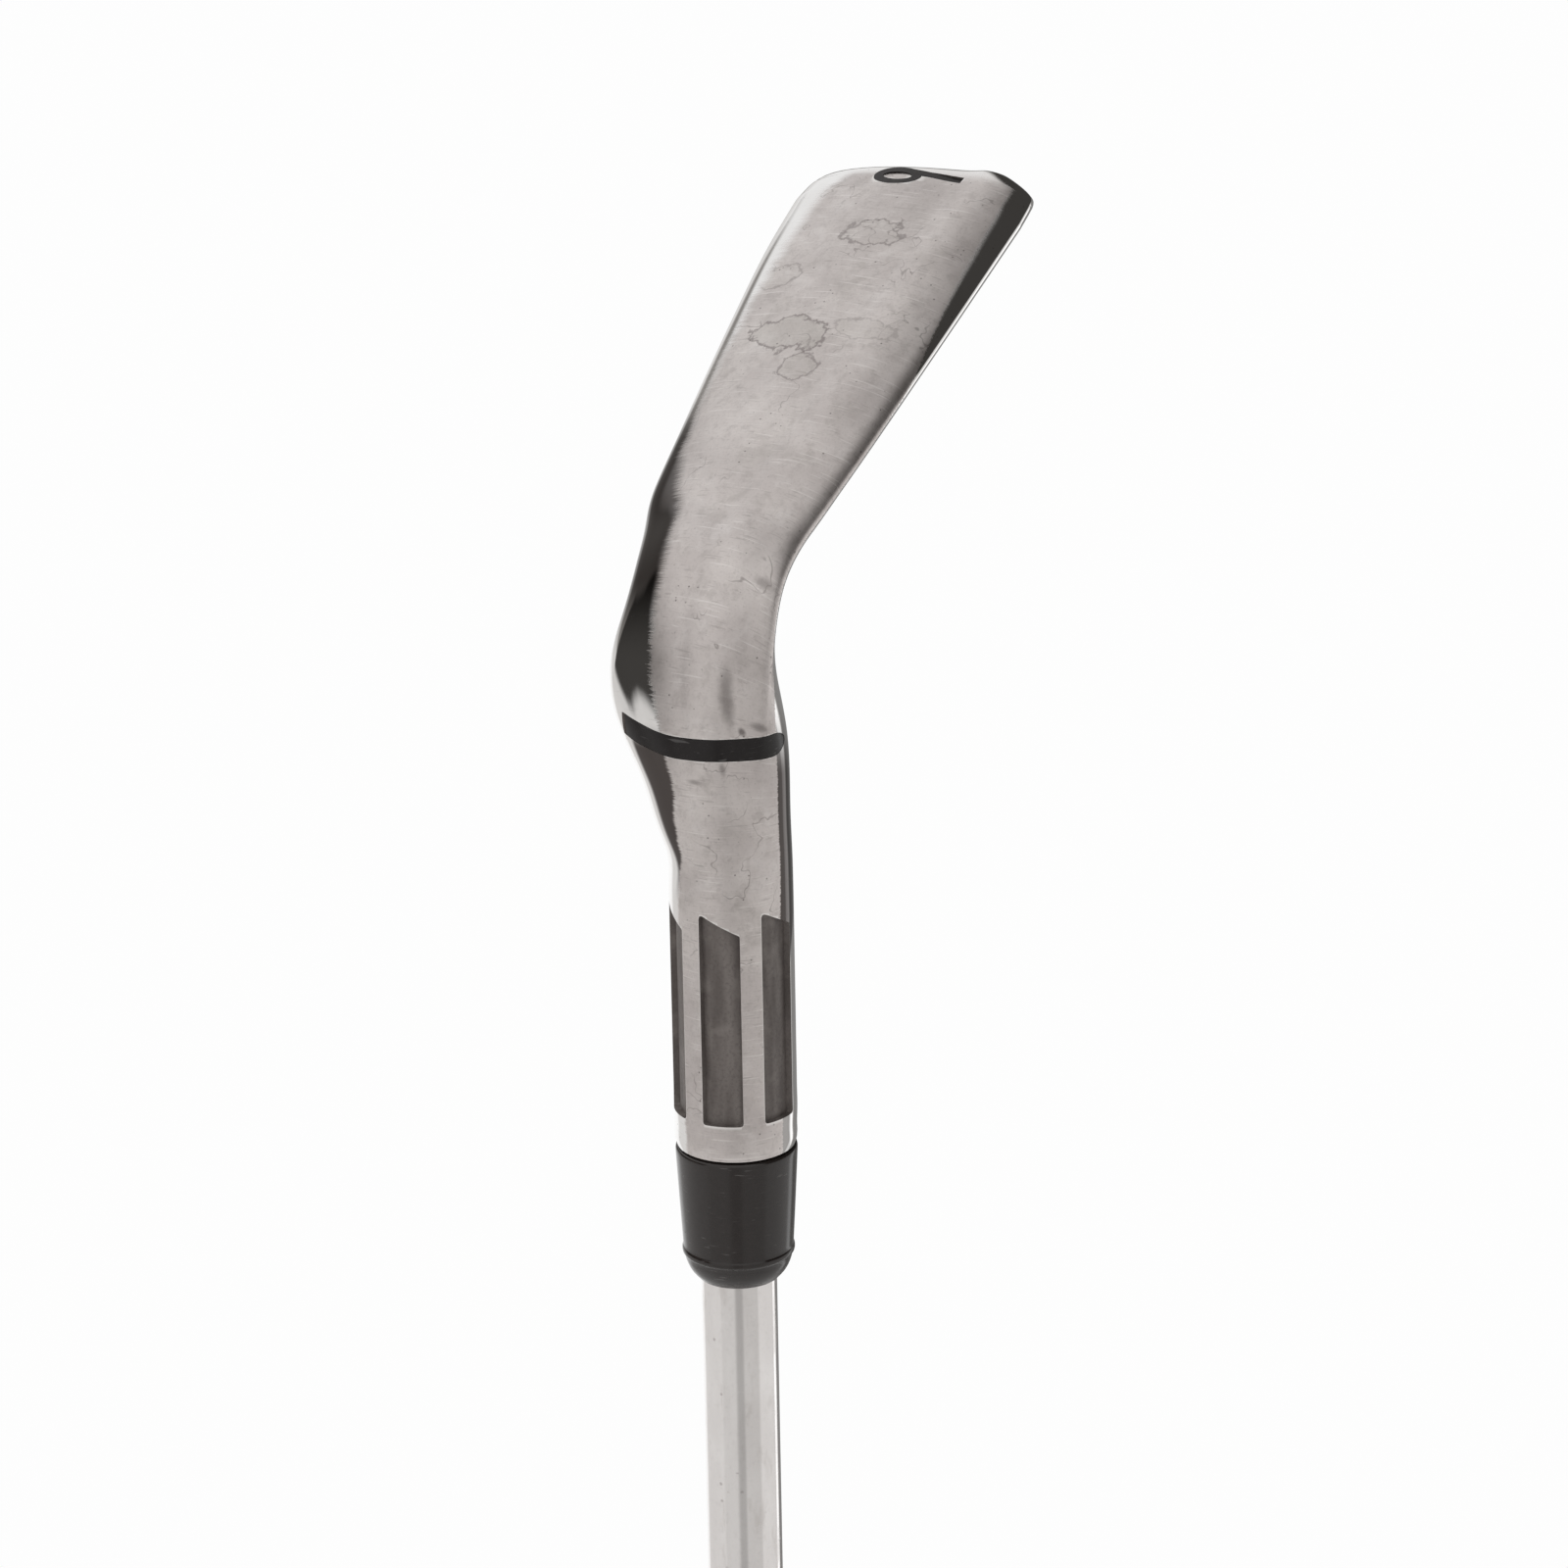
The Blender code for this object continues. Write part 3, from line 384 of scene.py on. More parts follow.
def prism(name, outline, place_point, near, far):
    bm = bmesh.new()
    low = [bm.verts.new(place_point(u, v, near)) for u, v in outline]
    high = [bm.verts.new(place_point(u, v, far)) for u, v in outline]
    bm.faces.new(low)
    bm.faces.new(high)
    n = len(outline)
    for i in range(n):
        bm.faces.new((low[i], low[(i + 1) % n], high[(i + 1) % n], high[i]))
    bmesh.ops.recalc_face_normals(bm, faces=bm.faces)
    bmesh.ops.triangulate(bm, faces=[f for f in bm.faces if len(f.verts) > 4])
    mesh = bpy.data.meshes.new(name)
    bm.to_mesh(mesh)
    bm.free()
    obj = bpy.data.objects.new(name, mesh)
    bpy.context.scene.collection.objects.link(obj)
    return obj


def rounded(corners, radius, steps=6):
    out = []
    n = len(corners)
    for i in range(n):
        p0, p1, p2 = (np.array(corners[(i + k) % n], float) for k in (-1, 0, 1))
        r = radius[i] if hasattr(radius, "__len__") else radius
        a, b = p0 - p1, p2 - p1
        a, b = a / np.linalg.norm(a), b / np.linalg.norm(b)
        half = math.acos(max(-1.0, min(1.0, float(a @ b)))) / 2
        reach = r / math.tan(half)
        start, stop = p1 + a * reach, p1 + b * reach
        for k in range(steps + 1):
            t = k / steps
            out.append(tuple((1 - t) ** 2 * start + 2 * t * (1 - t) * p1 + t ** 2 * stop))
    return out


def turned(name, profile, steps=96, closed=True):
    """profile: (t mm up the axis, radius mm) points, up the outside and down the inside."""
    n = steps
    ang = np.arange(n) * 2 * np.pi / n
    ring = np.stack([np.cos(ang), np.sin(ang)], -1)
    grid = np.array([np.concatenate([ring * r * MM, np.full((n, 1), along_axis(t))], -1) for t, r in profile])
    rows = len(profile)
    idx = np.arange(rows * n).reshape(rows, n)
    a = idx
    b = np.roll(idx, -1, 0)
    quads = np.stack([a, np.roll(a, -1, 1), np.roll(b, -1, 1), b], -1).reshape(-1, 4)
    obj = mesh_from(name, grid.reshape(-1, 3), quads)
    bm = bmesh.new()
    bm.from_mesh(obj.data)
    if bm.calc_volume(signed=True) < 0:
        bmesh.ops.reverse_faces(bm, faces=bm.faces)
    bm.to_mesh(obj.data)
    bm.free()
    return obj


def attribute(obj, name, values):
    layer = obj.data.attributes.new(name, "FLOAT", "POINT")
    layer.data.foreach_set("value", np.ascontiguousarray(values, np.float32))


def points_of(obj):
    co = np.empty(len(obj.data.vertices) * 3, np.float32)
    obj.data.vertices.foreach_get("co", co)
    return co.reshape(-1, 3).astype(float)


def step01(x, lo, hi):
    t = np.clip((x - lo) / (hi - lo), 0, 1)
    return t * t * (3 - 2 * t)


# ---------------------------------------------------------------- head
rows = ease(refine(head_rings(), SECTIONS), 2, 1)
reach_x = rows[:, :, 0].max(axis=1)
toe_share = np.clip((reach_x - 71.0) / 6.0, 0, 1)[:, None, None]
rows = rows + (ease(rows, 10, 6 * K) - rows) * toe_share
long_rows = ease(refine(head_rings(toe_shut=False), SECTIONS), 2, 1)
head = loft("head_skin", rows)
skin_tree = BVHTree.FromObject(head, bpy.context.evaluated_depsgraph_get())

bore = turned("bore", [(HOSEL_TOP - BORE_DEPTH, 0.01), (HOSEL_TOP - BORE_DEPTH + 1.5, BORE_R), (HOSEL_TOP - 0.35, BORE_R), (HOSEL_TOP + 0.05, BORE_R + 0.4), (HOSEL_TOP + 4, BORE_R + 0.4), (HOSEL_TOP + 4, 0.01)], 96)
boolean(head, bore, "DIFFERENCE")
drop(bore)


def flute_point(centre):
    def point(u, v, w):
        a = centre + u / HOSEL_R
        return Vector((w * MM * math.cos(a), w * MM * math.sin(a), along_axis(HOSEL_TOP) + v * MM))
    return point


def dense(outline, step):
    """The outline with its long sides split, so that it follows the cylinder."""
    out = []
    for i, p in enumerate(outline):
        q = outline[(i + 1) % len(outline)]
        n = max(1, int(math.hypot(q[0] - p[0], q[1] - p[1]) / step))
        out += [(p[0] + (q[0] - p[0]) * k / n, p[1] + (q[1] - p[1]) * k / n) for k in range(n)]
    return out


half = FLUTE_HALF * HOSEL_R
flute_outline = dense(rounded([(-half, FLUTE_LOW), (half, FLUTE_LOW), (half, FLUTE_HIGH[0]), (-half, FLUTE_HIGH[1])], (0.45, 0.45, 0.35, 0.5), 5), 0.35)
core = turned("core", [(60 - 40, 0.01), (60 - 40, HOSEL_R - FLUTE_DEPTH), (90, HOSEL_R - FLUTE_DEPTH), (90, 0.01)], 160)
for i in range(6):
    slot = prism("slot", flute_outline, flute_point(FACING + FLUTE_PHASE + i * math.pi / 3), 4.0, 9.5)
    boolean(slot, core, "DIFFERENCE")
    boolean(head, slot, "DIFFERENCE")
    drop(slot)
drop(core)

BAND_OUT = Vector((math.cos(FACING), math.sin(FACING), 0.0))
BAND_SIDE = Vector((-BAND_OUT.y, BAND_OUT.x, 0.0))


def band_rise(u):
    return 0.9 - 0.45 * max(0.0, min(1.0, u / 6.9)) + 0.03 * max(0.0, -u - 5.5) ** 2


def band_point(u, v, w):
    p = BAND_SIDE * (u * MM) + BAND_OUT * (w * MM)
    return Vector((p.x, p.y, along_axis(v - band_rise(u))))


def stadium(u0, u1, v0, v1, shrink=0.0):
    """A slot's outline with round ends and split sides."""
    u0, u1, v0, v1 = u0 + shrink, u1 - shrink, v0 + shrink, v1 - shrink
    r = (v1 - v0) / 2
    out = []
    for turn, centre, far, edge in ((-1, u1 - r, u0 + r, v1), (1, u0 + r, u1 - r, v0)):
        for k in range(15):
            a = turn * math.pi / 2 + math.pi * k / 14
            out.append((centre + r * math.cos(a), (v0 + v1) / 2 + r * math.sin(a)))
        out += [(centre + (far - centre) * k / 24, edge) for k in range(1, 24)]
    return out


def inlay(recess, fill, depth, proud=-0.03):
    floor = loft("floor", inset_rows(long_rows, depth))
    boolean(recess, floor, "DIFFERENCE")
    boolean(head, recess, "DIFFERENCE")
    drop(recess, floor)
    floor = loft("floor", inset_rows(long_rows, depth - 0.08))
    skin = loft("skin", inset_rows(long_rows, -proud))
    boolean(fill, skin, "INTERSECT")
    boolean(fill, floor, "DIFFERENCE")
    drop(floor, skin)
    return fill


band = prism("neck_band", stadium(*BAND_ACROSS, *BAND_T, shrink=0.05), band_point, -0.5, 20.0)
inlay(prism("recess", stadium(*BAND_ACROSS, *BAND_T), band_point, -1.0, 20.0), band, BAND_DEPTH)
smooth(band, 40)


def numeral_point(u, v, w):
    return Vector(address_to_part((NUMERAL_AT[0] + u, NUMERAL_AT[1] - v, w)))


def oval(a, b, v0, n=56):
    return [(a * math.cos(2 * math.pi * k / n), v0 + b * math.sin(2 * math.pi * k / n)) for k in range(n)]


def numeral(name, s, low=-3.0, high=9.0):
    body = prism(name, oval(2.0 - s, 3.3 - s, 2.9), numeral_point, low, high)
    hole = prism("hole", oval(0.85 + s, 1.95 + s, 2.9), numeral_point, low - 1, high + 1)
    tail = prism("tail", [(0.9 + s, 3.0), (2.0 - s, 3.0), (0.9 - s, -6.2 + s), (-0.4 + s, -6.2 + s)], numeral_point, low, high)
    boolean(body, hole, "DIFFERENCE")
    boolean(body, tail, "UNION")
    drop(hole, tail)
    return body


numeral_fill = numeral("numeral_paint", 0.04)
inlay(numeral("recess", 0.0), numeral_fill, NUMERAL_DEPTH, -0.16)
smooth(numeral_fill, 40)


def face_point(u, v, w):
    foot = np.array([5.9, (FACE_PLANE - 5.9 * FACE_N[0]) / FACE_N[1]])
    yz = foot + FACE_UP * v - FACE_N * w
    return Vector(address_to_part((u, yz[0], yz[1])))


def cavity_point(u, v, w):
    d = max(w - FLOOR_DEPTH, 0.0)
    low = max(0.0, min(1.0, (26.5 - v) / 15.0))
    return face_point(u + (u - 41) * 0.006 * d, v + (1.12 * low + 0.03) * d, w)


pocket = prism("pocket", dense(rounded([(14, 11.5), (71.5, 11.5), (73.0, 33), (67.5, 46.5), (14, 28.2)], (5, 6, 10, 6, 6), 14), 1.5), cavity_point, FLOOR_DEPTH, FLOOR_DEPTH + 11.5)
boolean(head, pocket, "DIFFERENCE")
drop(pocket)

for i in range(13):
    up = 6.5 + 3.1 * i
    start = 19.0 + max(0.0, up - 24) * 1.15
    stop = 62.0 - max(0.0, up - 38.0) * 0.6
    cut = prism("score", rounded([(start, up - 0.4), (stop, up - 0.4), (stop, up + 0.4), (start, up + 0.4)], 0.39, 6), face_point, -1.0, 0.32)
    boolean(head, cut, "DIFFERENCE")
    drop(cut)
smooth(head, 32)
head.name = "iron_head"

# what each point of the head is, for its finish
co = points_of(head)
adr = part_to_address(co)
t_axis = (CLUB_LENGTH - co[:, 2]) / MM
radial = np.hypot(co[:, 0], co[:, 1]) / MM
across = (co @ np.array(BAND_SIDE)) / MM
outward = (co @ np.array(BAND_OUT)) / MM
print("head", len(head.data.vertices), len(head.data.polygons))

grid_p = address_to_part(rows)
station = np.concatenate([[0], np.cumsum(np.linalg.norm(np.diff(rows, axis=0), axis=2).mean(axis=1))])
order = np.concatenate([np.arange(28 * K, 56 * K), np.arange(0, 28 * K)])
ring_u = np.where(AT[order] >= 28, AT[order] - 56, AT[order])
turned_rows = rows[:, order]
arc = np.concatenate([np.zeros((len(rows), 1)), np.cumsum(np.linalg.norm(np.diff(turned_rows, axis=1), axis=2), axis=1)], axis=1)
WEAR_BACK = [(0, -3.75), (24, -4.0), (31.6, -4.1), (39, -2.6), (46, -1.4), (55, -1.1), (66, -1.25), (72, -1.3), (80, -1.75), (92, -2.2), (107, -2.05), (136, -1.75), (165, -1.7)]
WEAR_LEAD = [(0, 16), (22, 16), (38, 16.5), (47, 16.2), (52, 15.5), (59, 14.4), (65, 12.4), (69, 12.2), (78.5, 12.3), (89, 12.2), (100, 11.8), (109, 10.6), (122, 9.7), (137, 9.3), (165, 9.0)]
back_u = smooth_table(station, WEAR_BACK)
lead_u = smooth_table(station, WEAR_LEAD)
keys = {name: np.zeros(arc.shape) for name in ("from_back", "from_lead", "round", "along", "ring")}
for i in range(len(rows)):
    keys["from_back"][i] = arc[i] - np.interp(back_u[i], ring_u, arc[i])
    keys["from_lead"][i] = np.interp(lead_u[i], ring_u, arc[i]) - arc[i]
    keys["round"][i] = arc[i] - np.interp(0.0, ring_u, arc[i])
    keys["along"][i] = station[i]
    keys["ring"][i] = ring_u
flat_points = grid_p[:, order].reshape(-1, 3)
from mathutils.kdtree import KDTree
kd = KDTree(len(flat_points))
for i, p in enumerate(flat_points):
    kd.insert(p, i)
kd.balance()
nearest = np.array([kd.find(p)[1] for p in co])
for name, grid in keys.items():
    attribute(head, name, grid.reshape(-1)[nearest])
attribute(head, "reach", adr[:, 0])
ring_here = keys["ring"].reshape(-1)[nearest]
along_here = keys["along"].reshape(-1)[nearest]


def finish_slots(obj, materials):
    obj.data.materials.clear()
    for m in materials:
        obj.data.materials.append(m)


centres = np.empty(len(head.data.polygons) * 3, np.float32)
head.data.polygons.foreach_get("center", centres)
centres = centres.reshape(-1, 3).astype(float)
c_t = (CLUB_LENGTH - centres[:, 2]) / MM
c_r = np.hypot(centres[:, 0], centres[:, 1]) / MM
c_adr = part_to_address(centres)
c_depth = np.array([(skin_tree.find_nearest(Vector(p))[3] or 0) / MM for p in centres])
foot = np.array([5.9, (FACE_PLANE - 5.9 * FACE_N[0]) / FACE_N[1]])
behind_face = -((c_adr[:, 1:] - foot) @ FACE_N)
cut = c_depth > 0.06
slot = np.zeros(len(centres), np.int32)
slot[cut & (c_t > 35) & (c_r > 5.7)] = 1
slot[cut & (c_t > 35) & (c_r <= 5.7)] = 2
slot[cut & (c_t <= 35)] = 3
slot[cut & (c_t <= 35) & (behind_face < 1.2)] = 4
slot[cut & (c_t <= 35) & (c_t > 12)] = 1
slot[cut & (c_adr[:, 0] > 66) & (c_adr[:, 2] < 5)] = 1


# ---------------------------------------------------------------- node helpers
class Nodes:
    def __init__(self, name):
        self.mat = bpy.data.materials.new(name)
        self.mat.use_nodes = True
        self.tree = self.mat.node_tree
        self.bsdf = self.tree.nodes["Principled BSDF"]

    def new(self, kind, **values):
        node = self.tree.nodes.new(kind)
        for key, value in values.items():
            setattr(node, key, value)
        return node

    def put(self, socket, value):
        if hasattr(value, "is_output"):
            self.tree.links.new(value, socket)
        elif isinstance(value, (tuple, list)) and len(value) == 3 and socket.type == "RGBA":
            socket.default_value = (*value, 1.0)
        else:
            socket.default_value = value

    def math(self, op, a, b=0.0, c=None, clamp=False):
        n = self.new("ShaderNodeMath", operation=op, use_clamp=clamp)
        self.put(n.inputs[0], a)
        self.put(n.inputs[1], b)
        if c is not None:
            self.put(n.inputs[2], c)
        return n.outputs[0]

    def step(self, value, lo, hi, out_lo=0.0, out_hi=1.0):
        n = self.new("ShaderNodeMapRange", interpolation_type="SMOOTHSTEP")
        for i, v in enumerate((value, lo, hi, out_lo, out_hi)):
            self.put(n.inputs[i], v)
        return n.outputs[0]

    def mix(self, fac, a, b):
        n = self.new("ShaderNodeMix", data_type="RGBA")
        self.put(n.inputs[0], fac)
        self.put(n.inputs[6], a)
        self.put(n.inputs[7], b)
        return n.outputs[2]

    def mixf(self, fac, a, b):
        n = self.new("ShaderNodeMix", data_type="FLOAT")
        self.put(n.inputs[0], fac)
        self.put(n.inputs[2], a)
        self.put(n.inputs[3], b)
        return n.outputs[0]

    def attr(self, name):
        return self.new("ShaderNodeAttribute", attribute_name=name).outputs["Fac"]

    def combine(self, x, y, z=0.0):
        n = self.new("ShaderNodeCombineXYZ")
        for i, v in enumerate((x, y, z)):
            self.put(n.inputs[i], v)
        return n.outputs[0]

    def place(self, vector, scale=(1, 1, 1), turn=0.0, move=(0, 0, 0)):
        n = self.new("ShaderNodeMapping")
        self.put(n.inputs[0], vector)
        n.inputs["Location"].default_value = move
        n.inputs["Rotation"].default_value = (0, 0, turn)
        n.inputs["Scale"].default_value = scale
        return n.outputs[0]

    def millimetres(self):
        """Object coordinates in millimetres."""
        n = self.new("ShaderNodeVectorMath", operation="SCALE")
        self.put(n.inputs[0], self.new("ShaderNodeTexCoord").outputs["Object"])
        n.inputs[3].default_value = 1000.0
        return n.outputs[0]

    def noise(self, vector, scale, detail=2.0, rough=0.5, distort=0.0):
        n = self.new("ShaderNodeTexNoise")
        self.put(n.inputs["Vector"], vector)
        n.inputs["Scale"].default_value = scale
        n.inputs["Detail"].default_value = detail
        n.inputs["Roughness"].default_value = rough
        n.inputs["Distortion"].default_value = distort
        return n.outputs["Fac"]

    def cells(self, vector, scale, feature="F1"):
        n = self.new("ShaderNodeTexVoronoi", feature=feature)
        self.put(n.inputs["Vector"], vector)
        n.inputs["Scale"].default_value = scale
        return n

    def scratches(self, uv, turn, fine, length, share, seed):
        """Sparse hairlines lying along the turned u direction."""
        v = self.place(uv, (1.0 / length, fine, 1.0), turn, (seed, seed * 1.7, seed))
        n = self.noise(v, 1.0, 1.0)
        return self.step(n, 1 - share - 0.035, 1 - share + 0.02)

    def blob(self, u, v, centre, radii, ragged):
        """About 1 on an uneven oval outline, less inside it."""
        a = self.math("DIVIDE", self.math("SUBTRACT", u, centre[0]), radii[0])
        b = self.math("DIVIDE", self.math("SUBTRACT", v, centre[1]), radii[1])
        d = self.math("SQRT", self.math("ADD", self.math("MULTIPLY", a, a), self.math("MULTIPLY", b, b)))
        return self.math("ADD", d, ragged)

    def bump(self, height, strength, distance, normal=None):
        n = self.new("ShaderNodeBump")
        n.inputs["Strength"].default_value = strength
        n.inputs["Distance"].default_value = distance * MM
        self.put(n.inputs["Height"], height)
        if normal is not None:
            self.put(n.inputs["Normal"], normal)
        return n.outputs[0]

    def set(self, **sockets):
        for name, value in sockets.items():
            self.put(self.bsdf.inputs[name.replace("_", " ")], value)
        return self.mat


def rings_uv(m):
    """(angle mm, height mm) round the shaft axis, for turned pieces."""
    p = m.millimetres()
    s = m.new("ShaderNodeSeparateXYZ")
    m.put(s.inputs[0], p)
    a = m.math("ARCTAN2", s.outputs[1], s.outputs[0])
    return m.combine(m.math("MULTIPLY", a, 6.5), s.outputs[2]), p, s


# head steel: worn satin on the sole and neck, polished chrome elsewhere; painted dark reflections along the satin
# border and a painted highlight round the flutes
def steel():
    m = Nodes("steel_worn_and_painted_light")
    round_, along = m.attr("round"), m.attr("along")
    uv = m.combine(round_, along)
    p = m.millimetres()
    hair = m.noise(m.place(uv, (0.16, 5.5, 1)), 1.0, 4.0, 0.7)
    hair2 = m.noise(m.place(uv, (0.05, 0.22, 1)), 1.0, 2.0)
    back = m.math("ADD", m.attr("from_back"), m.math("MULTIPLY", m.math("SUBTRACT", hair, 0.5), m.step(along, 36.0, 62.0, 0.9, 3.2)))
    back = m.math("ADD", back, m.math("MULTIPLY", m.math("SUBTRACT", hair2, 0.5), 1.6))
    lead = m.math("ADD", m.attr("from_lead"), m.math("MULTIPLY", m.math("SUBTRACT", hair, 0.5), 0.8))
    soft = m.step(along, 46.0, 84.0, 0.3, 1.3)
    satin = m.math("MULTIPLY", m.step(back, m.math("MULTIPLY", soft, -1.0), soft), m.step(lead, -0.12, m.step(along, 100.0, 125.0, 0.12, 0.9)))
    satin = m.math("MULTIPLY", satin, m.step(m.math("ADD", along, m.math("MULTIPLY", m.math("SUBTRACT", hair2, 0.5), 1.2)), 142.6, 139.0))
    # hairlines
    s1 = m.scratches(uv, 0.06, 2.6, 9.0, 0.30, 3.0)
    s2 = m.scratches(uv, -0.16, 3.4, 6.0, 0.30, 11.0)
    s3 = m.scratches(uv, 0.5, 3.0, 5.0, 0.27, 23.0)
    s4 = m.scratches(uv, -1.25, 2.4, 7.0, 0.25, 31.0)
    fine = m.noise(m.place(uv, (0.35, 9.0, 1)), 1.0, 3.0, 0.7)
    lines = m.math("MAXIMUM", m.math("MAXIMUM", s1, s2), m.math("MAXIMUM", m.math("MULTIPLY", s3, 0.7), m.math("MULTIPLY", s4, 0.5)))
    # pits and dirt specks
    pit = m.cells(p, 0.9)
    pit_on = m.math("MULTIPLY", m.step(pit.outputs["Distance"], 0.13, 0.07), m.step(m.noise(p, 0.35, 2.0), 0.50, 0.58))
    # dried stain outlines
    stain = m.noise(p, 0.16, 3.0, 0.5, 0.4)
    outline = m.math("MULTIPLY", m.step(m.math("ABSOLUTE", m.math("SUBTRACT", stain, 0.53)), 0.008, 0.002), m.step(m.noise(p, 0.1, 1.0), 0.5, 0.56))
    cloud = m.noise(p, 0.09, 4.0, 0.6)
    grain = m.noise(p, 3.2, 3.0, 0.7)
    worn_and_painted_highlight = m.mix(m.step(cloud, 0.35, 0.68), (0.60, 0.555, 0.54), (0.70, 0.655, 0.635))
    mottle = m.noise(p, 0.55, 5.0, 0.72)
    patch = m.noise(m.place(p, (1, 1, 1), 0.0, (7, 3, 1)), 0.2, 5.0, 0.65, 0.3)
    worn_and_painted_highlight = m.mix(m.math("MULTIPLY", m.step(mottle, 0.50, 0.68), 0.42), worn_and_painted_highlight, (0.44, 0.405, 0.39))
    worn_and_painted_highlight = m.mix(m.math("MULTIPLY", m.step(patch, 0.52, 0.70), 0.45), worn_and_painted_highlight, (0.47, 0.435, 0.415))
    worn_and_painted_highlight = m.mix(m.math("MULTIPLY", m.step(patch, 0.48, 0.30), 0.35), worn_and_painted_highlight, (0.80, 0.765, 0.75))
    worn_and_painted_highlight = m.mix(m.math("MULTIPLY", m.step(fine, 0.45, 0.75), 0.16), worn_and_painted_highlight, (0.46, 0.425, 0.41))
    worn_and_painted_highlight = m.mix(m.math("MULTIPLY", m.step(grain, 0.5, 0.72), 0.28), worn_and_painted_highlight, (0.40, 0.37, 0.355))
    worn_and_painted_highlight = m.mix(m.math("MULTIPLY", lines, 0.32), worn_and_painted_highlight, (0.92, 0.89, 0.87))
    worn_and_painted_highlight = m.mix(m.math("MULTIPLY", m.scratches(uv, 0.9, 3.0, 4.0, 0.28, 41.0), 0.3), worn_and_painted_highlight, (0.33, 0.30, 0.29))
    worn_and_painted_highlight = m.mix(m.math("MULTIPLY", m.scratches(uv, -0.05, 3.6, 3.0, 0.30, 51.0), 0.3), worn_and_painted_highlight, (0.35, 0.32, 0.31))
    ragged = m.math("MULTIPLY", m.math("SUBTRACT", m.noise(p, 0.42, 4.0, 0.6), 0.5), 1.5)
    for centre, radii, ink, film in (((-7.6, 105.6), (5.0, 3.1), 0.7, 0.22), ((-5.5, 126.5), (3.9, 2.6), 0.6, 0.1), ((-3.6, 99.6), (2.6, 2.3), 0.6, 0.16), ((-15.0, 117.0), (3.0, 2.2), 0.45, 0.1), ((2.0, 108.0), (4.0, 2.0), 0.3, 0.12)):
        d = m.blob(round_, along, centre, radii, ragged)
        worn_and_painted_highlight = m.mix(m.math("MULTIPLY", m.step(d, 1.0, 0.9), film), worn_and_painted_highlight, (0.43, 0.41, 0.37))
        worn_and_painted_highlight = m.mix(m.math("MULTIPLY", m.step(m.math("ABSOLUTE", m.math("SUBTRACT", d, 1.0)), 0.11, 0.02), ink), worn_and_painted_highlight, (0.24, 0.21, 0.205))
    for centre, radii, ink in (((5.8, 55.6), (1.1, 3.4), 0.62), ((7.4, 52.6), (0.55, 0.45), 0.85), ((9.9, 53.5), (1.5, 0.5), 0.6), ((4.2, 48.2), (0.5, 0.9), 0.6), ((0.6, 46.5), (1.0, 0.3), 0.5), ((8.6, 67.5), (1.5, 0.7), 0.5), ((14.0, 84.0), (0.5, 2.0), 0.5)):
        d = m.blob(round_, along, centre, radii, m.math("MULTIPLY", ragged, 0.6))
        worn_and_painted_highlight = m.mix(m.math("MULTIPLY", m.step(d, 1.25, 0.2), ink), worn_and_painted_highlight, (0.17, 0.15, 0.145))
    worn_and_painted_highlight = m.mix(m.math("MULTIPLY", outline, 0.6), worn_and_painted_highlight, (0.30, 0.27, 0.26))
    worn_and_painted_highlight = m.mix(m.math("MULTIPLY", pit_on, 0.75), worn_and_painted_highlight, (0.14, 0.125, 0.12))
    polished_and_dark_reflection = m.mix(m.math("MULTIPLY", m.step(cloud, 0.4, 0.7), 0.5), (0.86, 0.85, 0.84), (0.76, 0.74, 0.725))
    polished_and_dark_reflection = m.mix(m.math("MULTIPLY", lines, 0.12), polished_and_dark_reflection, (0.55, 0.53, 0.52))
    polished_and_dark_reflection = m.mix(m.math("MULTIPLY", pit_on, 0.5), polished_and_dark_reflection, (0.25, 0.23, 0.22))
    # painted reflection: dark colour painted into the polished chrome in bands beside the satin's back and lead
    # borders, standing in for dark surroundings reflected there
    t_here = m.attr("along")
    width = m.step(t_here, 35.0, 51.0, 0.5, 5.2)
    painted_dark_margin = m.math("MULTIPLY", m.step(m.math("ADD", m.attr("from_back"), width), -0.4, 0.4), m.math("MULTIPLY", m.step(t_here, 31.0, 37.0), m.step(t_here, 52.0, 49.0)))
    painted_dark_margin = m.math("MAXIMUM", painted_dark_margin, m.math("MULTIPLY", m.step(t_here, 57.0, 66.0), m.step(t_here, 97.0, 86.0)))
    painted_dark_margin = m.math("MULTIPLY", painted_dark_margin, m.step(m.attr("from_back"), 2.0, 0.8))
    painted_strip_width = m.step(t_here, 20.0, 34.0, 1.6, 4.6)
    painted_dark_strip = m.math("MULTIPLY", m.step(m.math("ADD", m.attr("from_lead"), painted_strip_width), -0.25, 0.25), m.step(t_here, 58.0, 48.0))
    painted_dark_strip = m.math("MULTIPLY", painted_dark_strip, m.step(m.attr("from_lead"), 1.5, 0.5))
    polished_and_dark_reflection = m.mix(m.math("MAXIMUM", painted_dark_margin, m.math("MULTIPLY", painted_dark_strip, m.step(t_here, 12.0, 30.0, 0.55, 1.0))), polished_and_dark_reflection, (0.085, 0.074, 0.07))
